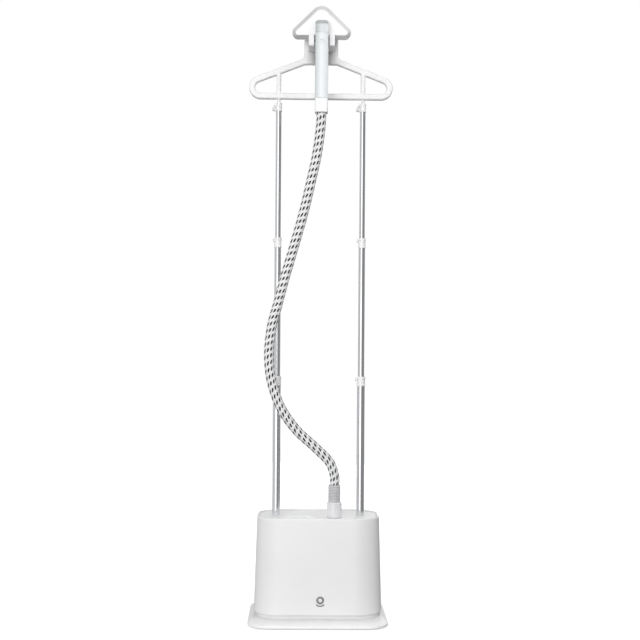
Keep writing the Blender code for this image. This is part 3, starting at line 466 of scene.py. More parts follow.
def moulded(name, color, roughness, grain=0.12, tint=0.03, **sockets):
    """Moulded plastic: a fine spark-eroded grain, slow colour drift and uneven gloss."""
    made = Finish(name, color, roughness, **sockets)
    drift = made.noise(9.0, 2.0)
    darker = [c * (1.0 - tint) for c in color]
    made.paint(made.blend(drift, darker, color))
    made.skin(roughness * 0.88, roughness * 1.12, grain)
    return made.mat


def make_finishes():
    """Every finish on the object, by a maker's name for it."""
    made = {
        "shell": moulded("shell plastic", (0.80, 0.80, 0.803), 0.42, 0.10),
        "deck": moulded("deck plastic", (0.88, 0.88, 0.885), 0.45, 0.12),
        "lid": moulded("filler lid plastic", (0.89, 0.89, 0.895), 0.40, 0.10),
        "plate": moulded("foot plate plastic", (0.91, 0.91, 0.915), 0.34, 0.06),
        "plinth": moulded("plinth plastic", (0.70, 0.69, 0.695), 0.5, 0.1),
        "cradle": moulded("cradle nylon", (0.86, 0.85, 0.86), 0.38, 0.10),
        "clip": moulded("clip nylon", (0.86, 0.86, 0.87), 0.34, 0.10),
        "lever": moulded("lever nylon", (0.68, 0.68, 0.69), 0.36, 0.10),
        "handle": moulded("handle plastic", (0.83, 0.84, 0.86), 0.34, 0.06),
        "collar": moulded("collar plastic", (0.88, 0.88, 0.89), 0.36, 0.08),
        "nut": moulded("union nut plastic", (0.72, 0.72, 0.74), 0.42, 0.14),
        "button": moulded("power button plastic", (0.84, 0.84, 0.85), 0.30, 0.05),
        "bezel": moulded("bezel plastic", (0.24, 0.245, 0.255), 0.26, 0.05),
        "socket": moulded("socket plastic", (0.48, 0.48, 0.50), 0.55, 0.2),
        "gland": moulded("gland rubber", (0.55, 0.55, 0.57), 0.65, 0.3),
        "rubber": moulded("foot rubber", (0.05, 0.05, 0.052), 0.8, 0.5, 0.2),
        "seal": moulded("silicone seal", (0.34, 0.34, 0.35), 0.6, 0.2),
        "tubing": moulded("silicone tubing", (0.62, 0.62, 0.58), 0.5, 0.1),
        "black": moulded("thermostat bakelite", (0.035, 0.035, 0.038), 0.4, 0.2, 0.15),
    }
    made["lens"] = lens_finish()
    made["pearl"] = pearl_finish()
    # the root's pearl has painted shade above its knee
    made["root"] = pearl_finish(ROOT_KNEE)
    made["head"] = head_finish()
    made["hanger"] = hanger_finish()
    made["pole"] = pole_finish()
    made["steel"] = brushed_steel("steam plate steel", (0.74, 0.745, 0.76), 0.30)
    made["element"] = brushed_steel("element sheath", (0.62, 0.61, 0.60), 0.38)
    made["cast"] = cast_finish()
    made["tank"] = moulded("tank resin", (0.70, 0.75, 0.78), 0.16, 0.04,
                           Transmission_Weight=0.55, IOR=1.49)
    made["board"] = board_finish()
    made["braid"] = braid_finish()
    made["weave"] = weave_finish()
    return made


def lens_finish():
    """Smoked light guide, slightly mottled inside."""
    made = Finish("indicator lens", (0.30, 0.31, 0.33), 0.2, Transmission_Weight=0.25, IOR=1.49,
                  Coat_Weight=0.4)
    made.paint(made.blend(made.noise(900.0), (0.24, 0.25, 0.27), (0.36, 0.37, 0.39)))
    made.bump(made.noise(1200.0), 0.1)
    return made.mat


def pearl_finish(shaded_above=None):
    """Pearl lacquer: bluish white with fine flakes; painted shade makes it greener and deeper along
    the left edge.

    Above the given height painted shade turns it grey.
    """
    made = Finish("pearl lacquer", (0.78, 0.82, 0.87), 0.22, 0.12, Coat_Weight=0.6,
                  Coat_Roughness=0.12)
    axes = made.axes(made.place)
    slow = made.noise(14.0, 2.0, made.stretch((1.0, 1.0, 0.25)))
    base = made.blend(slow, (0.72, 0.75, 0.76), (0.76, 0.785, 0.81))
    # painted shade: mixed towards a darker, greener grey towards the left edge
    side = made.ramp(axes["X"], 1.0, 0.0, -collar.half_w * 0.85, -collar.half_w * 0.15)
    base = made.mix(side, base, (0.47, 0.51, 0.51))
    if shaded_above is not None:
        # painted shade: grey above the given height, where the surface leans back
        top_shade = made.ramp(axes["Z"], 0.0, 0.85, shaded_above - 0.002, shaded_above + 0.003)
        base = made.mix(top_shade, base, (0.30, 0.315, 0.32))
    flakes = made.node("ShaderNodeTexVoronoi")
    made.feed(flakes, Vector=made.place, Scale=2600.0)
    glint = made.ramp(flakes.outputs["Distance"], 0.16, 0.0, 0.0, 0.5)
    made.paint(made.mix(glint, base, (0.86, 0.88, 0.91)))
    made.gloss(made.ramp(made.noise(80.0), 0.2, 0.27))
    made.bump(made.noise(2200.0), 0.04)
    return made.mat


def hanger_finish():
    """White nylon; the neck plate has a painted shadow from the head, handle and cradle that fades
    out towards its sides.
    """
    made = Finish("hanger nylon", (0.88, 0.88, 0.885), 0.36)
    axes = made.axes(made.place)
    nylon = made.blend(made.noise(9.0, 2.0), (0.82, 0.82, 0.825), (0.85, 0.85, 0.855))
    # painted shadow: darkest beside the handle, fading out sideways, downwards and off the front
    # face
    near = made.ramp(made.math("ABSOLUTE", axes["X"]), 1.0, 0.0, collar.half_w, 0.0400)
    above = made.ramp(axes["Z"], 0.0, 1.0, 1.3440, 1.3620)
    facing = made.ramp(axes["Y"], 1.0, 0.0, hanger.y0 + 0.0010, hanger.y0 + 0.0040)
    share = made.math("MULTIPLY", made.math("MULTIPLY", near, above), facing)
    made.paint(made.mix(share, nylon, (0.34, 0.34, 0.345)))
    made.skin(0.32, 0.40, 0.08)
    return made.mat


def head_finish():
    """White head plastic; the band round the face is painted grey as shade, darker on the left than
    on the right.
    """
    made = Finish("head plastic", (0.90, 0.90, 0.905), 0.30)
    axes = made.axes(made.place)
    drift = made.noise(9.0, 2.0)
    face = made.blend(drift, (0.88, 0.88, 0.885), (0.91, 0.91, 0.915))
    # painted shade: the band's grey, called lacquer here, darkens to the left and lightens to the
    # right as light falls on the bevel
    side = made.ramp(axes["X"], 0.0, 1.0, -head.half_w * 0.3, head.half_w * 0.5)
    lacquer = made.mix(side, (0.58, 0.58, 0.585), (0.74, 0.74, 0.745))
    band = made.ramp(axes["Y"], 0.0, 1.0, head_face + 0.0010, head_face + 0.0022)
    made.paint(made.mix(band, face, lacquer))
    made.skin(0.27, 0.34, 0.06)
    return made.mat


def pole_finish():
    """Polished drawn aluminium: faint lines along the tube and small handling marks."""
    made = Finish("polished aluminium", (0.83, 0.84, 0.86), 0.13, 1.0)
    lines = made.noise(900.0, 4.0, made.stretch((1.0, 1.0, 0.01)))
    marks = made.noise(35.0, 5.0)
    made.paint(made.blend(lines, (0.78, 0.79, 0.81), (0.87, 0.88, 0.90)))
    made.gloss(made.math("ADD", made.ramp(lines, 0.09, 0.15),
                         made.ramp(marks, 0.0, 0.05, 0.5, 0.75)))
    made.bump(lines, 0.004)
    return made.mat


def brushed_steel(name, color, roughness):
    """Steel brushed across, with the odd deeper line."""
    made = Finish(name, color, roughness, 1.0)
    lines = made.noise(700.0, 5.0, made.stretch((0.02, 1.0, 1.0)))
    made.paint(made.blend(lines, [c * 0.86 for c in color], color))
    made.gloss(made.ramp(lines, roughness * 0.8, roughness * 1.3))
    made.bump(lines, 0.12)
    return made.mat


def cast_finish():
    """Die-cast aluminium with its sandy skin."""
    made = Finish("cast aluminium", (0.52, 0.52, 0.53), 0.55, 1.0)
    sand = made.noise(420.0, 5.0)
    made.paint(made.blend(sand, (0.42, 0.42, 0.43), (0.58, 0.58, 0.59)))
    made.gloss(made.ramp(sand, 0.45, 0.68))
    made.bump(sand, 0.5, 0.0004)
    return made.mat


def board_finish():
    """Solder mask over tracks laid on a square grid."""
    made = Finish("circuit board", (0.03, 0.20, 0.09), 0.35)
    tracks = made.node("ShaderNodeTexBrick")
    made.feed(tracks, Vector=made.stretch((1.0, 1.0, 1.0)), Scale=110.0,
              Color1=(0.025, 0.17, 0.08, 1.0), Color2=(0.03, 0.21, 0.10, 1.0),
              Mortar=(0.10, 0.34, 0.17, 1.0))
    made.paint(tracks.outputs["Color"])
    made.gloss(made.ramp(made.noise(200.0), 0.3, 0.42))
    made.bump(tracks.outputs["Fac"], 0.2)
    return made.mat


TRACERS = 9                 # dark tracer dashes round the hose
TRACER_PITCH = 0.0158       # and their spacing along it
TRACER_TURNS = 2            # rows that one turn round the hose climbs


def braid_finish():
    """White braided sleeve with dark slanted tracer dashes.

    The piece's UV map runs once round in U, and along the hose in tracer pitches in V.
    """
    made = Finish("braided sleeve", (0.76, 0.77, 0.78), 0.72, Sheen_Weight=0.25,
                  Sheen_Roughness=0.5)
    axes = made.axes(made.node("ShaderNodeUVMap", uv_map="UVMap").outputs["UV"])
    u, v = axes["X"], axes["Y"]
    across = made.math("MULTIPLY", u, float(TRACERS))
    along = made.math("SUBTRACT", v, made.math("MULTIPLY", u, float(TRACER_TURNS)))
    fx = made.math("SUBTRACT", made.math("FRACT", across), 0.5)
    fz = made.math("SUBTRACT", made.math("FRACT", along), 0.5)
    slant = made.math("SUBTRACT", fx, made.math("MULTIPLY", fz, 0.40))
    wide = made.math("POWER", made.math("ABSOLUTE", made.math("DIVIDE", slant, 0.31)), 2.6)
    long = made.math("POWER", made.math("ABSOLUTE", made.math("DIVIDE", fz, 0.30)), 2.6)
    dash = made.ramp(made.math("ADD", wide, long), 1.0, 0.0, 0.72, 1.18)
    # the braid's own strands, crossing both ways
    strands = []
    for sign in (1.0, -1.0):
        phase = made.math("ADD", made.math("MULTIPLY", u, 2.0 * pi * 24.0),
                          made.math("MULTIPLY", v, sign * 2.0 * pi * 5.0))
        strands.append(made.math("SINE", phase))
    weave = made.math("MAXIMUM", strands[0], strands[1])
    fibres = made.noise(1500.0, 3.0)
    # painted shade: both the white strands and the tracer dashes are darker where the weave sinks
    raised = made.ramp(weave, 0.0, 1.0, -0.2, 0.9)
    light = made.mix(raised, (0.70, 0.70, 0.71), (0.88, 0.88, 0.885))
    dark = made.mix(raised, (0.014, 0.014, 0.016), (0.045, 0.045, 0.05))
    made.paint(made.mix(dash, light, dark))
    made.gloss(made.ramp(fibres, 0.62, 0.82))
    height = made.math("ADD", weave, made.math("MULTIPLY", fibres, 0.5))
    made.bump(height, 0.55, 0.0003)
    return made.mat


def weave_finish():
    """Grey-white woven boot: fine crossing threads, with painted shade where the weave and its
    rounds sink.
    """
    made = Finish("woven boot", (0.62, 0.62, 0.64), 0.8, Sheen_Weight=0.25, Sheen_Roughness=0.5)
    axes = made.axes(made.node("ShaderNodeUVMap", uv_map="UVMap").outputs["UV"])
    round_way = made.math("SINE", made.math("MULTIPLY", axes["X"], 2.0 * pi * 26.0))
    up_way = made.math("SINE", made.math("MULTIPLY", axes["Y"], 2.0 * pi * 11.0))
    weave = made.math("MULTIPLY", round_way, up_way)
    # painted shade: darker where the weave and its bands sink, following the waves that make the
    # bump
    bands = made.ramp(up_way, 0.0, 1.0, -0.9, 0.6)
    pale = made.mix(made.ramp(weave, 0.0, 1.0, -0.6, 0.6), (0.46, 0.46, 0.48), (0.84, 0.84, 0.85))
    made.paint(made.mix(bands, (0.36, 0.36, 0.38), pale))
    made.gloss(made.ramp(made.noise(900.0), 0.7, 0.88))
    made.bump(made.math("ADD", weave, made.math("MULTIPLY", up_way, 0.6)), 0.6, 0.0004)
    return made.mat


finish = make_finishes()


# ---------------------------------------------------------------- camera
CAMERA_AT = (-0.050, -2.766, 0.671)
CAMERA_AIM = (0.002, -0.016, 0.671)
CAMERA_LENS = 63.1
CAMERA_ROLL = radians(0.4)
CAMERA_RISE = 0.039         # the lens is raised a little instead of tilting the camera

view = bpy.data.cameras.new("camera")
view.sensor_width = 36.0
view.lens = CAMERA_LENS
view.clip_end = 100.0
view.shift_y = CAMERA_RISE
camera = put("camera", view)
toward = Vector(CAMERA_AIM) - Vector(CAMERA_AT)
camera.matrix_world = (Matrix.Translation(CAMERA_AT)
                       @ toward.to_track_quat("-Z", "Y").to_matrix().to_4x4()
                       @ Matrix.Rotation(CAMERA_ROLL, 4, "Z"))
bpy.context.scene.camera = camera


# ---------------------------------------------------------------- hose
HOSE_RADIUS = 0.0120
HOSE_SEAM_Z = 0.7640        # the hose is cut here, between the mast's two moving stages
BORE_Y = -0.0835            # the middle of the handle's bore
SWELL = 0.00012             # how far the braid stands out at a tracer
HOSE_ROUTE = [
    (nut.cx, nut.cy, 0.2870), (nut.cx, nut.cy, 0.3100), (nut.cx, nut.cy, 0.3330),
    (0.0380, -0.0560, 0.3560), (0.0240, -0.0600, 0.3910), (-0.0130, -0.0660, 0.4280),
    (-0.0540, -0.0720, 0.4660), (-0.0880, -0.0780, 0.5130), (-0.1080, -0.0820, 0.5600),
    (-0.1190, -0.0850, 0.6090), (-0.1210, -0.0860, 0.6610), (-0.1140, -0.0860, 0.7200),
    (-0.1020, -0.0860, HOSE_SEAM_Z), (-0.0850, -0.0855, 0.8300), (-0.0660, -0.0850, 0.8960),
    (-0.0470, -0.0845, 0.9640), (-0.0340, -0.0840, 1.0150), (-0.0230, -0.0838, 1.0650),
    (-0.0120, -0.0836, 1.1150), (-0.0050, -0.0835, 1.1600), (-0.0008, -0.0835, 1.2000),
    (0.0000, BORE_Y, 1.2350), (0.0000, BORE_Y, 1.2900), (0.0000, BORE_Y, 1.3400)]
RING_SPACING = 0.0020
HOSE_SIDES = 40


def smooth_route(route, spacing):
    """Points at an even spacing along a Catmull-Rom curve through the route, and the spacing."""
    route = [Vector(p) for p in route]
    padded = [route[0] * 2 - route[1], *route, route[-1] * 2 - route[-2]]
    fine = []
    for i in range(1, len(padded) - 2):
        a, b, c, d = padded[i - 1:i + 3]
        for k in range(40):
            t = k / 40.0
            fine.append(0.5 * (2 * b + (c - a) * t + (2 * a - 5 * b + 4 * c - d) * t * t
                               + (3 * b - a - 3 * c + d) * t ** 3))
    fine.append(route[-1])
    lengths = [0.0]
    for a, b in zip(fine, fine[1:]):
        lengths.append(lengths[-1] + (b - a).length)
    count = round(lengths[-1] / spacing)
    points = []
    k = 0
    for i in range(count + 1):
        want = lengths[-1] * i / count
        while k < len(fine) - 2 and lengths[k + 1] < want:
            k += 1
        share = (want - lengths[k]) / (lengths[k + 1] - lengths[k])
        points.append(fine[k].lerp(fine[k + 1], share))
    return points, lengths[-1] / count


def hose_tube(name, points, first, spacing):
    """A closed tube of rings along the points, with a UV map that carries on from ring to ring.

    The sleeve swells a little between its tracer rows.
    """
    verts, faces, uvs = [], [], []
    side = Vector((1.0, 0.0, 0.0))
    for i, point in enumerate(points):
        after = points[min(i + 1, len(points) - 1)]
        before = points[max(i - 1, 0)]
        along = (after - before).normalized()
        side = (side - along * side.dot(along)).normalized()
        other = along.cross(side)
        row = (first + i) * spacing / TRACER_PITCH
        for k in range(HOSE_SIDES):
            angle = 2.0 * pi * k / HOSE_SIDES
            slope = cos(2.0 * pi * (row - TRACER_TURNS * k / HOSE_SIDES))
            radius = HOSE_RADIUS - SWELL + SWELL * slope * cos(TRACERS * angle)
            verts.append(point + (side * cos(angle) + other * sin(angle)) * radius)
    for i in range(len(points) - 1):
        for k in range(HOSE_SIDES):
            j = (k + 1) % HOSE_SIDES
            faces.append((i * HOSE_SIDES + k, i * HOSE_SIDES + j, (i + 1) * HOSE_SIDES + j,
                          (i + 1) * HOSE_SIDES + k))
            low = (first + i) * spacing / TRACER_PITCH
            high = (first + i + 1) * spacing / TRACER_PITCH
            left, right = k / HOSE_SIDES, (k + 1) / HOSE_SIDES
            uvs += [(left, low), (right, low), (right, high), (left, high)]
    last = (len(points) - 1) * HOSE_SIDES
    faces.append(tuple(reversed(range(HOSE_SIDES))))
    faces.append(tuple(range(last, last + HOSE_SIDES)))
    uvs += [(0.0, 0.0)] * (2 * HOSE_SIDES)
    mesh = bpy.data.meshes.new(name)
    mesh.from_pydata(verts, [], faces)
    layer = mesh.uv_layers.new(name="UVMap")
    for loop, uv in zip(layer.data, uvs):
        loop.uv = uv
    return put(name, mesh)


def make_hose():
    """One braided hose, cut where the two stages of the mast part."""
    points, spacing = smooth_route(HOSE_ROUTE, RING_SPACING)
    seam = min(range(len(points)), key=lambda i: abs(points[i].z - HOSE_SEAM_Z))
    stretches = (("hose_lower", points[:seam + 1], 0, "middle_left_slide", cuff.z0 + 0.012),
                 ("hose_upper", points[seam:], seam, "upper_left_slide", HOSE_SEAM_Z))
    for node, part, first, joint, anchor_z in stretches:
        obj = hose_tube(node.replace("hose", "sleeve"), part, first, spacing)
        piece(obj, obj.name, node, finish["braid"], even=False)
        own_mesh(obj)


make_hose()


# ---------------------------------------------------------------- foot plate and plinth
BODY_CORNER_W = 0.0700      # the housing's elliptical corners
BODY_CORNER_D = 0.0560
BODY_TAPER_W = 0.0070       # each side comes in this much up the housing
BODY_TAPER_D = 0.0050
PLATE_CORNER = 0.0500
PLATE_EDGE_TOP = 0.0100
CROWN_MARGIN = 0.0010       # the plate's crown shows this much round the housing
PLINTH_INSET = 0.0035       # how much tighter the plinth's corners are than the housing's
PLINTH_WALL = 0.0028


def body_at(z):
    """The housing's half width and half depth at a height."""
    share = (z - shell.z0) / (shell.z1 - shell.z0)
    return shell.half_w - BODY_TAPER_W * share, shell.half_d - BODY_TAPER_D * share


def make_foot():
    """The foot plate, sloping up to the housing, and the plinth band between the two."""
    edge = PLATE_EDGE_TOP
    rings = [(foot.z0, 0.0022), (foot.z0 + 0.0009, 0.0007), (foot.z0 + 0.0020, 0.0),
             (edge - 0.0022, 0.0), (edge - 0.0009, 0.0004), (edge, 0.0016), (edge + 0.0008, 0.0040)]
    base = slab(foot.half_w, foot.half_d, PLATE_CORNER, PLATE_CORNER, rings)
    crown = plan(shell.half_w + CROWN_MARGIN, shell.half_d + CROWN_MARGIN, BODY_CORNER_W,
                 BODY_CORNER_D, foot.z1, (0.0, mast_y))
    obj = join(base, crown)
    # the top face goes, and the slope up to the housing takes its place
    high = rings[-1][0] - 0.0001
    pick(obj, lambda middle, normal: abs(normal.z) > FACING and abs(normal.x) < 0.01
         and middle.z > high)
    bpy.ops.mesh.delete(type="ONLY_FACE")
    pick(obj, lambda middle, along: middle.z > high and abs(along.z) < TINY, "EDGE")
    bpy.ops.mesh.bridge_edge_loops()
    pick(obj, lambda middle, along: middle.z > foot.z1 - TINY and abs(along.z) < TINY, "EDGE")
    bpy.ops.mesh.edge_face_add()
    leave()
    outward(obj)
    piece(obj, "foot_plate_moulding", "foot_plate", finish["plate"], 30.0)

    ring = Span("plinth_ring")
    corner_w, corner_d = BODY_CORNER_W - PLINTH_INSET, BODY_CORNER_D - PLINTH_INSET
    outer, inner = (slab(ring.half_w, ring.half_d, corner_w, corner_d,
                         [(ring.z0 - past, wall), (ring.z1 + past, wall)], (0.0, mast_y))
                    for past, wall in ((0.0, 0.0), (0.01, PLINTH_WALL)))
    boolean(outer, inner)
    piece(outer, "plinth_band", "plinth_ring", finish["plinth"])


# ---------------------------------------------------------------- housing
RIM_RADIUS = 0.0030         # the housing's round upper edge
GLAND_HOLE = 0.0074
SMILE_INNER = 0.0125        # the light guide's arc below the button
SMILE_OUTER = 0.0150
SMILE_HALF = radians(42.0)


def front_y(z):
    return mast_y - body_at(z)[1]


def make_housing():
    """The tapered wall: up the outside, over the round rim and down to the deck inside."""
    top = shell.z1
    outside = [(shell.z0, 0.0016), (shell.z0 + 0.0004, 0.0007), (shell.z0 + 0.0014, 0.0001)]
    outside += [(shell.z0 + 0.004 + (top - shell.z0 - 0.012) * i / 6.0, 0.0) for i in range(7)]
    rim = [(top - RIM_RADIUS + RIM_RADIUS * sin(pi * i / 8.0),
            RIM_RADIUS - RIM_RADIUS * cos(pi * i / 8.0)) for i in range(9)]
    inside = [(deck_top - 0.004, 0.0062), (0.20, 0.0050), (shell.z0 + 0.004, 0.0028)]
    rings = []
    for z, inset in outside + rim + inside:
        half_w, half_d = body_at(z)
        rings.append((z, half_w - inset, half_d - inset))
    z, half_w, half_d = rings[0]
    obj = plan(half_w, half_d, BODY_CORNER_W, BODY_CORNER_D, z, (0.0, mast_y), 20)
    carry(obj, rings, (0.0, mast_y))
    pick(obj, lambda middle, normal: abs(normal.z) > FACING and abs(middle.x) < 0.01
         and abs(middle.y - mast_y) < 0.01)
    bpy.ops.mesh.delete(type="ONLY_FACE")
    leave()
    # only the two open ends are bridged: the outer wall has its own ring at the same height
    ends = open_edges(obj)
    pick(obj, lambda middle, along: False, "EDGE")
    leave()
    for i in ends:
        obj.data.edges[i].select = True
    edit()
    bpy.ops.mesh.bridge_edge_loops()
    leave()
    outward(obj)
    bezel = Span("button_bezel")
    lens = Span("indicator_lens")
    drill(obj, bezel.half_w + GAP, (bezel.cx, bezel.y0 - 0.02, bezel.cz),
          (bezel.cx, bezel.y1 + 0.02, bezel.cz), 48)
    boolean(obj, drawn([smile(GAP)], lens.y0 - 0.01, lens.y1 + 0.01))
    gland = Span("cord_gland")
    drill(obj, GLAND_HOLE, (gland.cx, gland.y0 - 0.01, gland.cz),
          (gland.cx, gland.y1 + 0.01, gland.cz))
    piece(obj, "housing", "base_shell", finish["shell"], 30.0, even=False)


def open_edges(obj):
    """The edges that only one face uses."""
    used = {}
    for face in obj.data.polygons:
        for key in face.edge_keys:
            used[key] = used.get(key, 0) + 1
    return [e.index for e in obj.data.edges if used.get(e.key, 0) == 1]


def smile(clearance):
    """The light guide's outline about the power button."""
    bezel = Span("button_bezel")
    reach = SMILE_HALF + clearance / SMILE_OUTER
    start, end = -pi / 2.0 - reach, -pi / 2.0 + reach
    return (arc(bezel.cx, bezel.cz, SMILE_OUTER + clearance, start, end, 24)
            + arc(bezel.cx, bezel.cz, SMILE_INNER - clearance, end, start, 24))


def make_controls():
    """The power button in its ring, and the light guide below it."""
    bezel = Span("button_bezel")
    button = Span("power_button")
    lens = Span("indicator_lens")
    face = front_y(bezel.cz)
    upright = (pi / 2.0, 0.0, 0.0)
    outer, inner = bezel.half_w, button.half_w + 0.0003
    ring = [(outer, -0.0042), (outer, 0.0002), (outer - 0.0003, 0.0006), (outer - 0.0009, 0.0008),
            (inner + 0.0012, 0.0008), (inner + 0.0006, 0.0005), (inner, -0.0002), (inner, -0.0042),
            (outer, -0.0042)]
    piece(turned(ring, (bezel.cx, face, bezel.cz), upright, 72), "button_ring", "button_bezel",
          finish["bezel"])
    size = button.half_w
    dish = [(0.0, -0.0090), (0.0030, -0.0090), (0.0030, -0.0055), (size, -0.0055), (size, -0.0003),
            (size - 0.0003, 0.0002), (size - 0.0008, 0.0004), (size - 0.0014, 0.0002),
            (size - 0.0026, -0.0001), (0.0006, -0.0002), (0.0, -0.0002)]
    piece(turned(dish, (bezel.cx, face, bezel.cz), upright, 56), "button_cap", "power_button",
          finish["button"])
    guide = drawn([smile(0.0)], lens.y0, lens.y1, 0.0004, 3)
    piece(guide, "light_guide", "indicator_lens", finish["lens"])


def make_gland():
    """The rubber boot in the rear wall, where a mains cord goes in."""
    gland = Span("cord_gland")
    rear = mast_y + body_at(gland.cz)[1]
    deep, out = gland.y0 - rear, gland.y1 - rear
    outer = gland.half_w
    profile = [(0.0038, deep), (0.0068, deep), (0.0068, 0.0003), (outer, 0.0003), (outer, 0.0010),
               (outer - 0.0006, 0.0014), (outer - 0.0022, 0.0016), (outer - 0.0024, 0.0022),
               (outer - 0.0019, 0.0026), (outer - 0.0022, out), (0.0044, out),
               (0.0038, out - 0.0006), (0.0038, deep)]
    piece(turned(profile, (gland.cx, rear, gland.cz), (-pi / 2.0, 0.0, 0.0), 48), "gland_boot",
          "cord_gland", finish["gland"])


# ---------------------------------------------------------------- deck and filler lid
DECK_EDGE = 0.0062
DECK_THICK = 0.0040
LID_CORNER = 0.0180
LID_LEDGE = 0.0040          # the lid rests on this much of the deck round its opening
SCOOP = (0.0400, 0.0210, 0.0085)    # half sizes of the finger scoop before the lid
SCOOP_WALL = 0.0020
SCOOP_AHEAD = 0.0180
CONNECTOR_HOLE = 0.0124


def ball(at, size):
    deselect()
    bpy.ops.mesh.primitive_uv_sphere_add(segments=64, ring_count=32, radius=1.0)
    obj = bpy.context.object
    obj.scale = size
    return place(obj, at)


def make_deck():
    """The recessed deck: a finger scoop, the filler's seat and mouth, and holes for what passes."""
    half_w, half_d = body_at(deck_top)
    obj = slab(half_w - DECK_EDGE, half_d - DECK_EDGE, BODY_CORNER_W - DECK_EDGE,
               BODY_CORNER_D - DECK_EDGE,
               [(deck_top - DECK_THICK, 0.0001), (deck_top, 0.0001)], (0.0, mast_y), 20)
    scoop_y = mast_y - lid.half_d - SCOOP_AHEAD
    dish = ball((lid.cx, scoop_y, deck_top), [size + SCOOP_WALL for size in SCOOP])
    trim = brick((lid.cx - 0.06, scoop_y - 0.05, deck_top - DECK_THICK / 2.0),
                 (lid.cx + 0.06, scoop_y + 0.05, deck_top + 0.03))
    boolean(dish, trim)
    boolean(obj, dish, "UNION")
    boolean(obj, ball((lid.cx, scoop_y, deck_top), SCOOP))
    for shrink, low in ((-GAP, lid.z0 - GAP), (LID_LEDGE, deck_top - 0.02)):
        corner = LID_CORNER - max(shrink, 0.0)
        boolean(obj, slab(lid.half_w - shrink, lid.half_d - shrink, corner, corner,
                          [(low, 0.0), (deck_top + 0.01, 0.0)], (lid.cx, lid.cy)))
    tube_hole = Span("tube_lower_right").half_w + GAP
    for x, y, radius in ((-pole_x, mast_y, tube_hole), (pole_x, mast_y, tube_hole),
                         (nut.cx, nut.cy, CONNECTOR_HOLE)):
        drill(obj, radius, (x, y, deck_top - 0.02), (x, y, deck_top + 0.02), 64)
    piece(obj, "deck", "top_deck", finish["deck"], 28.0)


def make_lid():
    """The filler lid: a rolled edge, a shallow groove inside it and a flat crown."""
    rings = [(lid.z0, 0.0006), (lid.z0 + 0.0003, 0.0), (lid.z1 - 0.0008, 0.0),
             (lid.z1 - 0.0003, 0.0003), (lid.z1 - 0.0001, 0.0010), (lid.z1 - 0.0003, 0.0030),
             (lid.z1 - 0.0004, 0.0040), (lid.z1 - 0.0001, 0.0056), (lid.z1, 0.0080)]
    obj = slab(lid.half_w, lid.half_d, LID_CORNER, LID_CORNER, rings, (lid.cx, lid.cy), 16)
    piece(obj, "filler_cap", "filler_lid", finish["lid"], 40.0)


# ---------------------------------------------------------------- hose union
UNION_BORE = 0.0126
GRIP_RIBS = 24
BOOT_TURNS = 11             # rounds of thread up the woven boot


def make_union():
    """The ribbed nut that holds the hose to the deck, and the woven boot above it."""
    bore, outer = UNION_BORE, nut.half_w
    low, high = nut.z0, nut.z1
    root = outer - 0.0009
    profile = [(bore, low), (outer - 0.0010, low), (outer, low + 0.0008), (outer, low + 0.0030),
               (root, low + 0.0036), (root, high - 0.0052), (outer - 0.0003, high - 0.0046),
               (outer - 0.0004, high - 0.0034), (outer - 0.0010, high - 0.0018),
               (outer - 0.0024, high - 0.0005), (outer - 0.0040, high), (bore, high), (bore, low)]
    obj = turned(profile, (nut.cx, nut.cy, 0.0), None, 96)

    # grip ribs: every other stretch of the waist stands out
    def rib(middle, normal):
        x, y = middle.x - nut.cx, middle.y - nut.cy
        around = atan2(y, x) / (2.0 * pi) * GRIP_RIBS
        outside = Vector((x, y)).length > outer - 0.002
        return outside and low + 0.004 < middle.z < high - 0.0055 and around % 1.0 < 0.5

    pick(obj, rib)
    bpy.ops.mesh.inset(thickness=0.00035, depth=0.0008, use_individual=False)
    leave()
    piece(obj, "union_nut", "hose_nut", finish["nut"], 30.0)

    top, out = cuff.z1, cuff.half_w
    profile = [(bore, cuff.z0), (out - 0.0012, cuff.z0)]
    step = (top - cuff.z0 - 0.003) / BOOT_TURNS
    for i in range(BOOT_TURNS):
        z = cuff.z0 + 0.001 + step * i
        profile += [(out - 0.0006, z + step * 0.15), (out, z + step * 0.5),
                    (out - 0.0006, z + step * 0.85)]
    profile += [(out - 0.0010, top - 0.0012), (out - 0.0022, top), (bore, top), (bore, cuff.z0)]
    boot = turned(profile, (nut.cx, nut.cy, 0.0), None, 64)
    mesh = boot.data
    layer = mesh.uv_layers.get("UVMap") or mesh.uv_layers.new(name="UVMap")
    for face in mesh.polygons:
        corners = [mesh.vertices[i].co for i in face.vertices]
        around = [atan2(co.y - nut.cy, co.x - nut.cx) / (2.0 * pi) for co in corners]
        wraps = max(around) - min(around) > 0.5
        for loop, co, share in zip(face.loop_indices, corners, around):
            turn = share + 1.0 if wraps and share < 0.0 else share
            layer.data[loop].uv = (turn, (co.z - cuff.z0) / (top - cuff.z0))
    piece(boot, "woven_boot", "hose_cuff", finish["weave"], 50.0, even=False)


# ---------------------------------------------------------------- mast
TUBE_WALLS = {"lower": 0.0009, "middle": 0.0008, "upper": 0.0007}
CLIP_GRIPS = {"lower": 0.0079, "middle": 0.00685, "upper": 0.0057}  # what passes through each clip
TUBE_BREAK = 0.00025        # the broken edge at a tube's ends
EAR_HALF_D = 0.0046         # half the depth of a clip's ears and of its lever
PIN_RADIUS = 0.0011


def make_tube(stage, side):
    """One drawn tube of the mast, with its ends broken."""
    node = f"tube_{stage}_{side}"
    tube = Span(node)
    outer = tube.half_w
    inner, soft = outer - TUBE_WALLS[stage], TUBE_BREAK
    profile = [(inner, tube.z0), (outer - soft, tube.z0), (outer, tube.z0 + soft),
               (outer, tube.z1 - soft), (outer - soft, tube.z1), (inner, tube.z1), (inner, tube.z0)]
    piece(turned(profile, (tube.cx, mast_y, 0.0), None, 72), f"pole_{stage}_{side}", node,
          finish["pole"], 30.0)


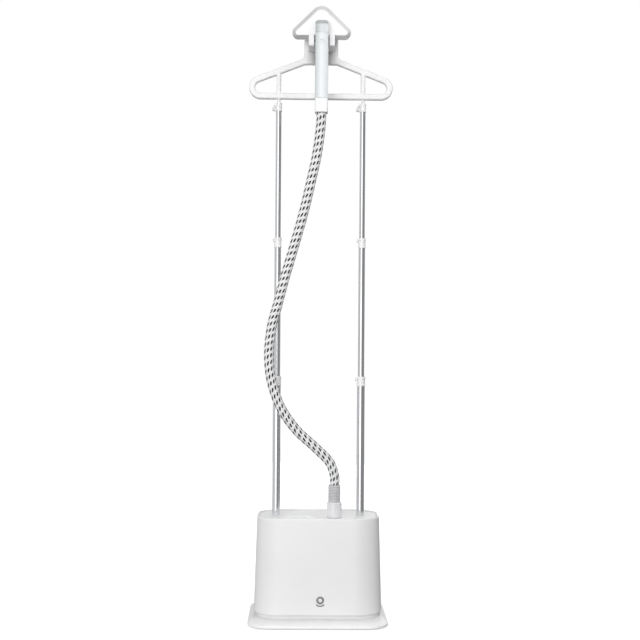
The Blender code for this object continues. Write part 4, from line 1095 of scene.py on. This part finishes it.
def make_clip(stage, side):
    """A clamping collar: a skirt over the tube's end, a waist, and ears for the cam lever."""
    node = f"clip_{stage}_{side}"
    clip, lever, tube = (Span(f"{kind}_{stage}_{side}") for kind in ("clip", "lever", "tube"))
    x = tube.cx
    rim = clip.x1 - x
    grip = CLIP_GRIPS[stage] + GAP
    seat_bore = tube.half_w + 0.0003
    low, high = clip.z0, clip.z1
    seat = low + 0.0150
    top = max(grip + 0.0022, rim - 0.0018)
    profile = [(seat_bore, low), (rim - 0.0004, low), (rim, low + 0.0005), (rim, low + 0.0030),
               (rim - 0.0006, low + 0.0036), (rim - 0.0006, high - 0.0062), (rim, high - 0.0056),
               (rim, high - 0.0030), (rim - 0.0005, high - 0.0018), (top, high - 0.0004),
               (top - 0.0004, high), (grip, high), (grip, seat), (seat_bore, seat),
               (seat_bore, low)]
    obj = turned(profile, (x, mast_y, 0.0), None, 64)
    pin_x = clip.x0 + 0.0030
    pin_z = high - 0.0060
    ear_low, ear_high, ear_root = pin_z - 0.0030, pin_z + 0.0030, x - rim + 0.0012
    ears = drawn([rounded([(clip.x0, ear_low, 0.0029), (ear_root, ear_low, 0.0),
                           (ear_root, ear_high, 0.0), (clip.x0, ear_high, 0.0029)])],
                 mast_y - EAR_HALF_D, mast_y + EAR_HALF_D, 0.0005, 3)
    boolean(ears, brick((clip.x0 - 0.01, mast_y - 0.0022, pin_z - 0.01),
                        (x - rim + 0.0004, mast_y + 0.0022, pin_z + 0.01)))
    drill(ears, 0.0014, (pin_x, mast_y - 0.01, pin_z), (pin_x, mast_y + 0.01, pin_z), 20)
    boolean(obj, ears, "UNION")
    # the split that lets the collar close on its tube
    boolean(obj, brick((x + rim - 0.006, mast_y - 0.0006, seat - 0.002),
                       (x + rim + 0.004, mast_y + 0.0006, high + 0.004)))
    piece(obj, f"collar_{stage}_{side}", node, finish["clip"], 32.0)

    # the cam lever hangs against the collar: a D with three finger grooves
    near = x - rim - 0.0006
    head_z = pin_z - 0.0036
    tip = low + 0.0016
    out = lever.x0
    paddle = drawn([rounded([(near, head_z, 0.0004), (near, tip, 0.0008), (out, tip, 0.0030),
                             (out, head_z, 0.0030)])],
                   mast_y - EAR_HALF_D, mast_y + EAR_HALF_D, 0.0007, 3)
    for i in range(3):
        z = tip + 0.0036 + 0.0022 * i
        drill(paddle, 0.0006, (out - 0.0001, mast_y - 0.0030, z),
              (out - 0.0001, mast_y + 0.0030, z), 12)
    tongue = brick((pin_x - 0.0016, mast_y - 0.0019, head_z - 0.0016),
                   (pin_x + 0.0006, mast_y + 0.0019, pin_z + 0.0004), 0.0003, 2)
    pin = cylinder(PIN_RADIUS, (pin_x, mast_y - EAR_HALF_D, pin_z),
                   (pin_x, mast_y + EAR_HALF_D, pin_z), 20)
    for part in (tongue, pin):
        boolean(paddle, part, "UNION")
    piece(paddle, f"cam_{stage}_{side}", f"lever_{stage}_{side}", finish["lever"],
          32.0)


# ---------------------------------------------------------------- hanger
SLOPE = radians(21.0)       # how steeply the shoulders rise
BAR = 0.0150                # height of the moulding's bars
BAR_BOTTOM = 1.2720
END_RADIUS = 0.0287
NECK_HALF_W = 0.0415
NECK_BOTTOM = 1.3570
STRUT = 0.0055              # half the width of a strut
LEG_RADIUS = 0.0057
LEG_NECK = 0.0040


def mirrored(corners):
    return corners + [(-x, z, radius) for x, z, radius in reversed(corners)]


def make_hanger():
    """One moulding: a loop, two struts and the neck plate, round-edged, on two legs."""
    half_w = hanger.half_w
    tip = half_w - END_RADIUS + END_RADIUS / tan(SLOPE / 2.0)

    def arm(x, drop):
        return BAR_BOTTOM + (tip - x) * tan(SLOPE) - drop / cos(SLOPE)

    top = BAR_BOTTOM + BAR
    outer = mirrored([(tip, BAR_BOTTOM, END_RADIUS), (NECK_HALF_W, arm(NECK_HALF_W, 0.0), 0.012),
                      (NECK_HALF_W, hanger.z1, 0.008)])
    inner_edge, outer_edge = pole_x - STRUT, pole_x + STRUT
    apex = (arm(0.0, BAR) - NECK_BOTTOM) / tan(SLOPE)
    middle = mirrored([(inner_edge, top, 0.002), (inner_edge, arm(inner_edge, BAR), 0.002),
                       (apex, NECK_BOTTOM, 0.012)])
    end = END_RADIUS - BAR
    window = half_w - END_RADIUS + end / tan(SLOPE / 2.0)
    right = [(outer_edge, top, 0.002), (window, top, end),
             (outer_edge, arm(outer_edge, BAR), 0.002)]
    left = [(-x, z, radius) for x, z, radius in reversed(right)]
    outlines = [rounded(corners, radians(6.0)) for corners in (outer, middle, right, left)]
    obj = drawn(outlines, hanger.y0, hanger.y1, 0.0042, 6)
    clip_top = Span("clip_upper_left").z1 + 0.0012
    profile = [(0.0, BAR_BOTTOM + 0.006), (LEG_NECK + 0.0015, BAR_BOTTOM + 0.006),
               (LEG_NECK + 0.0012, BAR_BOTTOM - 0.0004), (LEG_NECK, BAR_BOTTOM - 0.0022),
               (LEG_NECK, clip_top), (LEG_RADIUS, clip_top - 0.002),
               (LEG_RADIUS, hanger.z0 + 0.001), (LEG_RADIUS - 0.001, hanger.z0), (0.0, hanger.z0)]
    for x in (-pole_x, pole_x):
        boolean(obj, turned(profile, (x, mast_y, 0.0), None, 56), "UNION")
    piece(obj, "hanger", "hanger_frame", finish["hanger"], 40.0)


PRONG_WIDTH = 0.0130
FORK_PLAY = 0.0006          # the head stands this much above the fork


def make_cradle():
    """The fork that the head rests on: a pad on the neck and two prongs with upturned lips."""
    back, front = cradle.y1, cradle.y0
    outer = cradle.half_w
    inner = outer - PRONG_WIDTH
    rest = head.z0 - FORK_PLAY
    low, lip_top = cradle.z0, cradle.z1
    pad = brick((-outer, back - 0.0095, low), (outer, back, rest), 0.0016, 4)
    for sign in (-1, 1):
        near, far = sorted((sign * inner, sign * outer))
        side = [(back - 0.0075, low + 0.0002, 0.0), (front, low + 0.0002, 0.0040),
                (front, lip_top, 0.0021), (front + 0.0045, lip_top, 0.0018),
                (front + 0.0045, rest, 0.0016), (back - 0.0075, rest, 0.0)]
        prong = drawn([rounded(side, radians(15.0))], near, far, 0.0014, 4)
        boolean(pad, sideways(prong), "UNION")
    piece(pad, "fork", "handset_cradle", finish["cradle"], 40.0)


# ---------------------------------------------------------------- handset
def grip_outline(front, back, front_radius, back_radius, half_w):
    return rounded([(-half_w, front, front_radius), (half_w, front, front_radius),
                    (half_w, back, back_radius), (-half_w, back, back_radius)], radians(6.0))


def crowned(front, back, half_w):
    """A panel's section: a shallow arc in front that rolls over at both edges."""
    drop, roll = 0.0009, 0.0005
    shares = [i / 8.0 - 1.0 for i in range(17)]
    face = [(half_w * 0.90 * share, front + drop * share ** 2) for share in shares]
    edge = [(half_w * 0.95, front + drop + roll * 0.35),
            (half_w * 0.985, front + drop + roll * 0.9), (half_w, front + drop + roll * 1.6)]
    left = [(-x, y) for x, y in reversed(edge)]
    return left + face + edge + [(half_w, back), (-half_w, back)]


def level(outline, low, high, rounding=0.0):
    return drawn([outline], low, high, rounding, 3, upright=False)


HANDLE_BORE = 0.0127
GROOVE_RISE = 0.0075        # the collar's groove stands this far above its lower end


def make_handle():
    """The grip: shell, front panel, the collar that takes the hose, and the steam key."""
    half_w = collar.half_w
    front, back = collar.y0, collar.y1
    tool_low, tool_high = collar.z0 - 0.02, body.z1 - 0.03
    grip = level(grip_outline(body.y0, back, 0.0012, 0.0105, half_w), body.z0, body.z1, 0.0005)
    drill(grip, HANDLE_BORE, (0, BORE_Y, tool_low), (0, BORE_Y, tool_high), 48)
    button = Span("steam_button")
    hole = button.half_w + 0.0002
    drill(grip, hole, (0, front - 0.01, button.cz), (0, BORE_Y, button.cz), 40)
    piece(grip, "handle_shell", "handle_body", finish["handle"], 40.0)

    # the front panel crowns gently across and rolls over at its long edges
    cap = level(crowned(panel.y0, panel.y1, half_w), panel.z0, panel.z1, 0.0002)
    drill(cap, hole, (0, front - 0.01, button.cz), (0, front + 0.01, button.cz), 40)
    piece(cap, "front_panel", "handle_front_panel", finish["pearl"], 40.0)

    sleeve = level(grip_outline(front, back, 0.0042, 0.0105, half_w), collar.z0, collar.z1, 0.0008)
    drill(sleeve, HANDLE_BORE, (0, BORE_Y, collar.z0 - 0.01), (0, BORE_Y, collar.z1 + 0.01), 48)
    # a fine groove runs round near its lower end
    groove_z = collar.z0 + GROOVE_RISE
    band = level(grip_outline(front - 0.002, back + 0.002, 0.006, 0.012, half_w + 0.002),
                 groove_z - 0.0005, groove_z + 0.0005)
    core = level(grip_outline(front + 0.0005, back - 0.0005, 0.0038, 0.0100, half_w - 0.0005),
                 groove_z - 0.003, groove_z + 0.003)
    boolean(band, core)
    boolean(sleeve, band)
    piece(sleeve, "hose_collar", "handle_hose_collar", finish["collar"], 40.0)

    size = button.half_w
    profile = [(0.0, -0.0050), (size, -0.0050), (size, -0.0006), (size - 0.0002, -0.0003),
               (size - 0.0008, -0.0001), (0.0010, 0.0), (0.0, 0.0)]
    piece(turned(profile, (0, front, button.cz), (pi / 2.0, 0, 0), 48), "steam_key", "steam_button",
          finish["pearl"])


HEAD_RADIUS = 0.0140
HEAD_APEX_RADIUS = 0.0270
HEAD_WALL = 0.0025
HEAD_BAND_DEPTH = 0.0110
HOLE_ROWS = ((0.016, 3), (0.032, 2), (0.048, 1))    # height, and holes each side of the middle
HOLE_PITCH = 0.0140


def triangle(inset=0.0):
    """The head's outline in XZ: two small corner arcs and a wide one at the apex."""
    half_w, bottom, top, radius = head.half_w, head.z0, head.z1, HEAD_RADIUS
    centres = ((half_w - radius, bottom + radius), (0.0, top - HEAD_APEX_RADIUS),
               (radius - half_w, bottom + radius))
    across, up = centres[1][0] - centres[0][0], centres[1][1] - centres[0][1]
    side = atan2(up, across) - acos((radius - HEAD_APEX_RADIUS) / sqrt(across * across + up * up))
    turns = ((-pi / 2.0, side, radius), (side, pi - side, HEAD_APEX_RADIUS),
             (pi - side, 3.0 * pi / 2.0, radius))
    points = []
    for (cx, cz), (start, end, size) in zip(centres, turns):
        points += arc(cx, cz, size - inset, start, end, 14)
    return points


def step_in(*steps):
    """Inset the selected faces, once for each (thickness, depth)."""
    for thickness, depth in steps:
        bpy.ops.mesh.inset(thickness=thickness, depth=depth, use_even_offset=True)


def make_head():
    """The steam head: cover, the root that the handle ends in, and the drilled steam plate."""
    plate = Span("steam_plate")
    joint = head.y1
    obj = drawn([triangle()], head_face + HEAD_BAND_DEPTH + 0.0015, joint)
    pick(obj, lambda middle, normal: normal.y < -FACING)
    # the band leans in; its face sits low, so that the band is narrow along the bottom
    step_in((0.0003, 0.0009), (0.0005, 0.0006), (0.0072, HEAD_BAND_DEPTH - 0.0012))
    bpy.ops.transform.translate(value=(0, 0, -0.0040))
    step_in((0.0005, 0.0007), (0.0006, 0.0004), (0.0010, 0.0001))
    pick(obj, lambda middle, normal: normal.y > FACING)
    step_in((HEAD_WALL, 0.0))
    bpy.ops.mesh.extrude_region_move(TRANSFORM_OT_translate={"value": (0, -0.0045, 0)})
    leave()
    outward(obj)
    piece(obj, "head_cover", "head_shell", finish["head"], 35.0)

    # the root that carries the handle on to the head's face: arched over the top, leaning back
    half_w = collar.half_w
    arch = rounded([(-half_w, head.z0, 0.0006), (half_w, head.z0, 0.0006),
                    (half_w, ROOT_TOP, 0.0110), (-half_w, ROOT_TOP, 0.0110)], radians(6.0))
    root = drawn([arch], panel.y0, collar.y1 + 0.0002, 0.0012, 4)
    before, seam, face = panel.y0 - 0.02, panel.z1 + 0.0003, head_face - 0.0002
    slope = drawn([rounded([(before, seam, 0.0), (panel.y0, seam, 0.0),
                            (panel.y0 + 0.0012, 1.4180, 0.012),
                            (panel.y0 + 0.0080, ROOT_KNEE, 0.020), (face, ROOT_TOP, 0.0),
                            (face, ROOT_TOP + 0.02, 0.0), (before, ROOT_TOP + 0.02, 0.0)],
                           radians(6.0))], -half_w - 0.01, half_w + 0.01)
    boolean(root, sideways(slope))
    boolean(root, brick((-half_w - 0.01, panel.y0 - 0.01, head.z0 - 0.01),
                        (half_w + 0.01, body.y0, seam)))
    bevel(root, 0.0010, 3, 40.0)
    piece(root, "handle_root", "head_shell", finish["root"], 40.0)

    # steam plate: pressed face with countersunk steam holes inside a shallow step
    metal = drawn([triangle(0.0008)], plate.y0, plate.y1)
    pick(metal, lambda middle, normal: normal.y > FACING)
    step_in((0.0006, 0.0))
    leave()
    bevel(metal, 0.0007, 3, 60.0)
    pick(metal, lambda middle, normal: normal.y > FACING and middle.y > plate.y1 - TINY)
    step_in((0.0060, 0.0), (0.0010, -0.0008))
    leave()
    outward(metal)
    for row, half_count in HOLE_ROWS:
        for i in range(-half_count, half_count + 1):
            x, z = i * HOLE_PITCH, head.z0 + row
            deselect()
            bpy.ops.mesh.primitive_cone_add(vertices=20, radius1=0.0014, radius2=0.0034,
                                            depth=0.0020)
            sink = place(bpy.context.object, (x, plate.y1 - 0.0008, z), (-pi / 2.0, 0, 0))
            drill(metal, 0.0016, (x, plate.y0 - 0.002, z), (x, plate.y1 + 0.002, z), 20)
            boolean(metal, sink)
    piece(metal, "soleplate", "steam_plate", finish["steel"], 35.0)


# ---------------------------------------------------------------- parts carried over
CARRIED = {
    "foot_front_left": "rubber", "foot_front_right": "rubber", "foot_rear_left": "rubber",
    "foot_rear_right": "rubber", "hose_connector": "gland", "water_tank": "tank",
    "tank_valve": "lid", "feed_tube": "tubing", "steam_pipe": "tubing", "boiler_body": "cast",
    "boiler_lid": "cast", "heating_element": "element", "thermostat": "black",
    "control_board": "board", "pole_socket_left": "socket", "pole_socket_right": "socket",
    "steam_duct": "tubing", "head_seal": "seal"}


def finish_carried():
    for name, kind in CARRIED.items():
        mesh = nodes[name].data
        mesh.materials.clear()
        mesh.materials.append(finish[kind])


make_foot()
make_housing()
make_controls()
make_gland()
make_deck()
make_lid()
make_union()
for pole_side in ("left", "right"):
    for pole_stage in ("lower", "middle", "upper"):
        make_tube(pole_stage, pole_side)
        make_clip(pole_stage, pole_side)
make_hanger()
make_cradle()
make_handle()
make_head()
finish_carried()


# ---------------------------------------------------------------- floor and light
FLOOR_SIZE = 60.0
FLOOR_GLOW = 0.72
DOME_RADIUS = 40.0


def make_floor():
    """A white floor that glows a little, as an overlit sweep does, and keeps a soft shadow."""
    deselect()
    bpy.ops.mesh.primitive_plane_add(size=FLOOR_SIZE, location=(0, 0, 0))
    floor = bpy.context.object
    floor.name = "floor"
    made = Finish("floor", (0.5, 0.5, 0.5), 0.9, Emission_Color=(1.0, 1.0, 1.0, 1.0),
                  Emission_Strength=FLOOR_GLOW)
    made.paint(made.blend(made.noise(1.5), (0.495, 0.495, 0.495), (0.505, 0.505, 0.505)))
    floor.data.materials.append(made.mat)
    floor.visible_diffuse = False
    floor.visible_glossy = False


def make_backdrop():
    """A white dome far round the floor. It is only seen: the studio's walls do the lighting."""
    deselect()
    bpy.ops.mesh.primitive_uv_sphere_add(segments=48, ring_count=24, radius=DOME_RADIUS)
    dome = bpy.context.object
    dome.name = "backdrop"
    made = Finish("backdrop", (0.0, 0.0, 0.0), 1.0, Emission_Color=(1.0, 1.0, 1.0, 1.0),
                  Emission_Strength=1.0)
    dome.data.materials.append(made.mat)
    dome.visible_diffuse = False
    dome.visible_glossy = False
    dome.visible_transmission = False
    dome.visible_shadow = False


SOFTBOXES = (               # name, at, aimed at, width, height, radiance, radiance in a mirror
    ("front softbox", (-0.75, -3.3, 1.0), (0.0, 0.0, 0.8), 2.6, 3.0, 3.6, 1.2),
    ("high right softbox", (1.5, -1.2, 2.4), (0.0, 0.0, 1.3), 1.0, 1.0, 3.0, 1.0),
    ("rear softbox", (0.9, 3.2, 1.3), (0.0, 0.0, 0.8), 2.4, 2.4, 2.0, 0.6))
MIRRORED_AHEAD = 0.03       # the mirrored face stands in front of the lit one, or it wouldn't show


def soft_light(name, at, aim, width, height, radiance, mirrored_radiance):
    """A softbox: one face that lights the object, and one that is only seen in its gloss."""
    forward = Vector(aim) - Vector(at)
    for part, strength, ahead, other in (
            ("lit", radiance, 0.0, "visible_glossy"),
            ("mirrored", mirrored_radiance, MIRRORED_AHEAD, "visible_diffuse")):
        light = bpy.data.lights.new(f"{name} {part}", "AREA")
        light.shape = "RECTANGLE"
        light.size = width
        light.size_y = height
        light.energy = strength * pi * width * height
        obj = put(light.name, light)
        obj.location = Vector(at) + forward.normalized() * ahead
        obj.rotation_euler = forward.to_track_quat("-Z", "Y").to_euler()
        setattr(obj, other, False)


class Sky(Nodes):
    """The studio round the object, worked out from the direction alone."""

    def __init__(self):
        world = bpy.data.worlds.new("studio")
        world.use_nodes = True
        bpy.context.scene.world = world
        self.tree = world.node_tree

    def ease(self, value, low, high, from_min, from_max):
        """A ramp that starts and ends softly."""
        return self.ramp(value, low, high, from_min, from_max, interpolation_type="SMOOTHSTEP")

    def mix(self, share, a, b):
        return self.feed(self.node("ShaderNodeMix"), Factor=share, A=a, B=b).outputs["Result"]


def make_room():
    """Grey walls, darker to the right, with a lighter ceiling and a dimmer floor level."""
    sky = Sky()
    axes = sky.axes(sky.node("ShaderNodeTexCoord").outputs["Generated"])
    walls = sky.ease(axes["X"], 0.62, 0.27, -0.75, 0.45)
    ceiling = sky.ease(axes["Z"], 0.0, 1.0, 0.22, 0.60)
    cellar = sky.ease(axes["Z"], 1.0, 0.0, -0.60, -0.22)
    upper = sky.mix(ceiling, walls, 0.64)
    sky.feed(sky.tree.nodes["Background"], Strength=sky.mix(cellar, upper, 0.20),
             Color=(1.0, 1.0, 1.0, 1.0))


make_floor()
make_backdrop()
make_room()
for softbox in SOFTBOXES:
    soft_light(*softbox)
bpy.context.scene.view_settings.view_transform = "Standard"
bpy.context.scene.view_settings.look = "None"
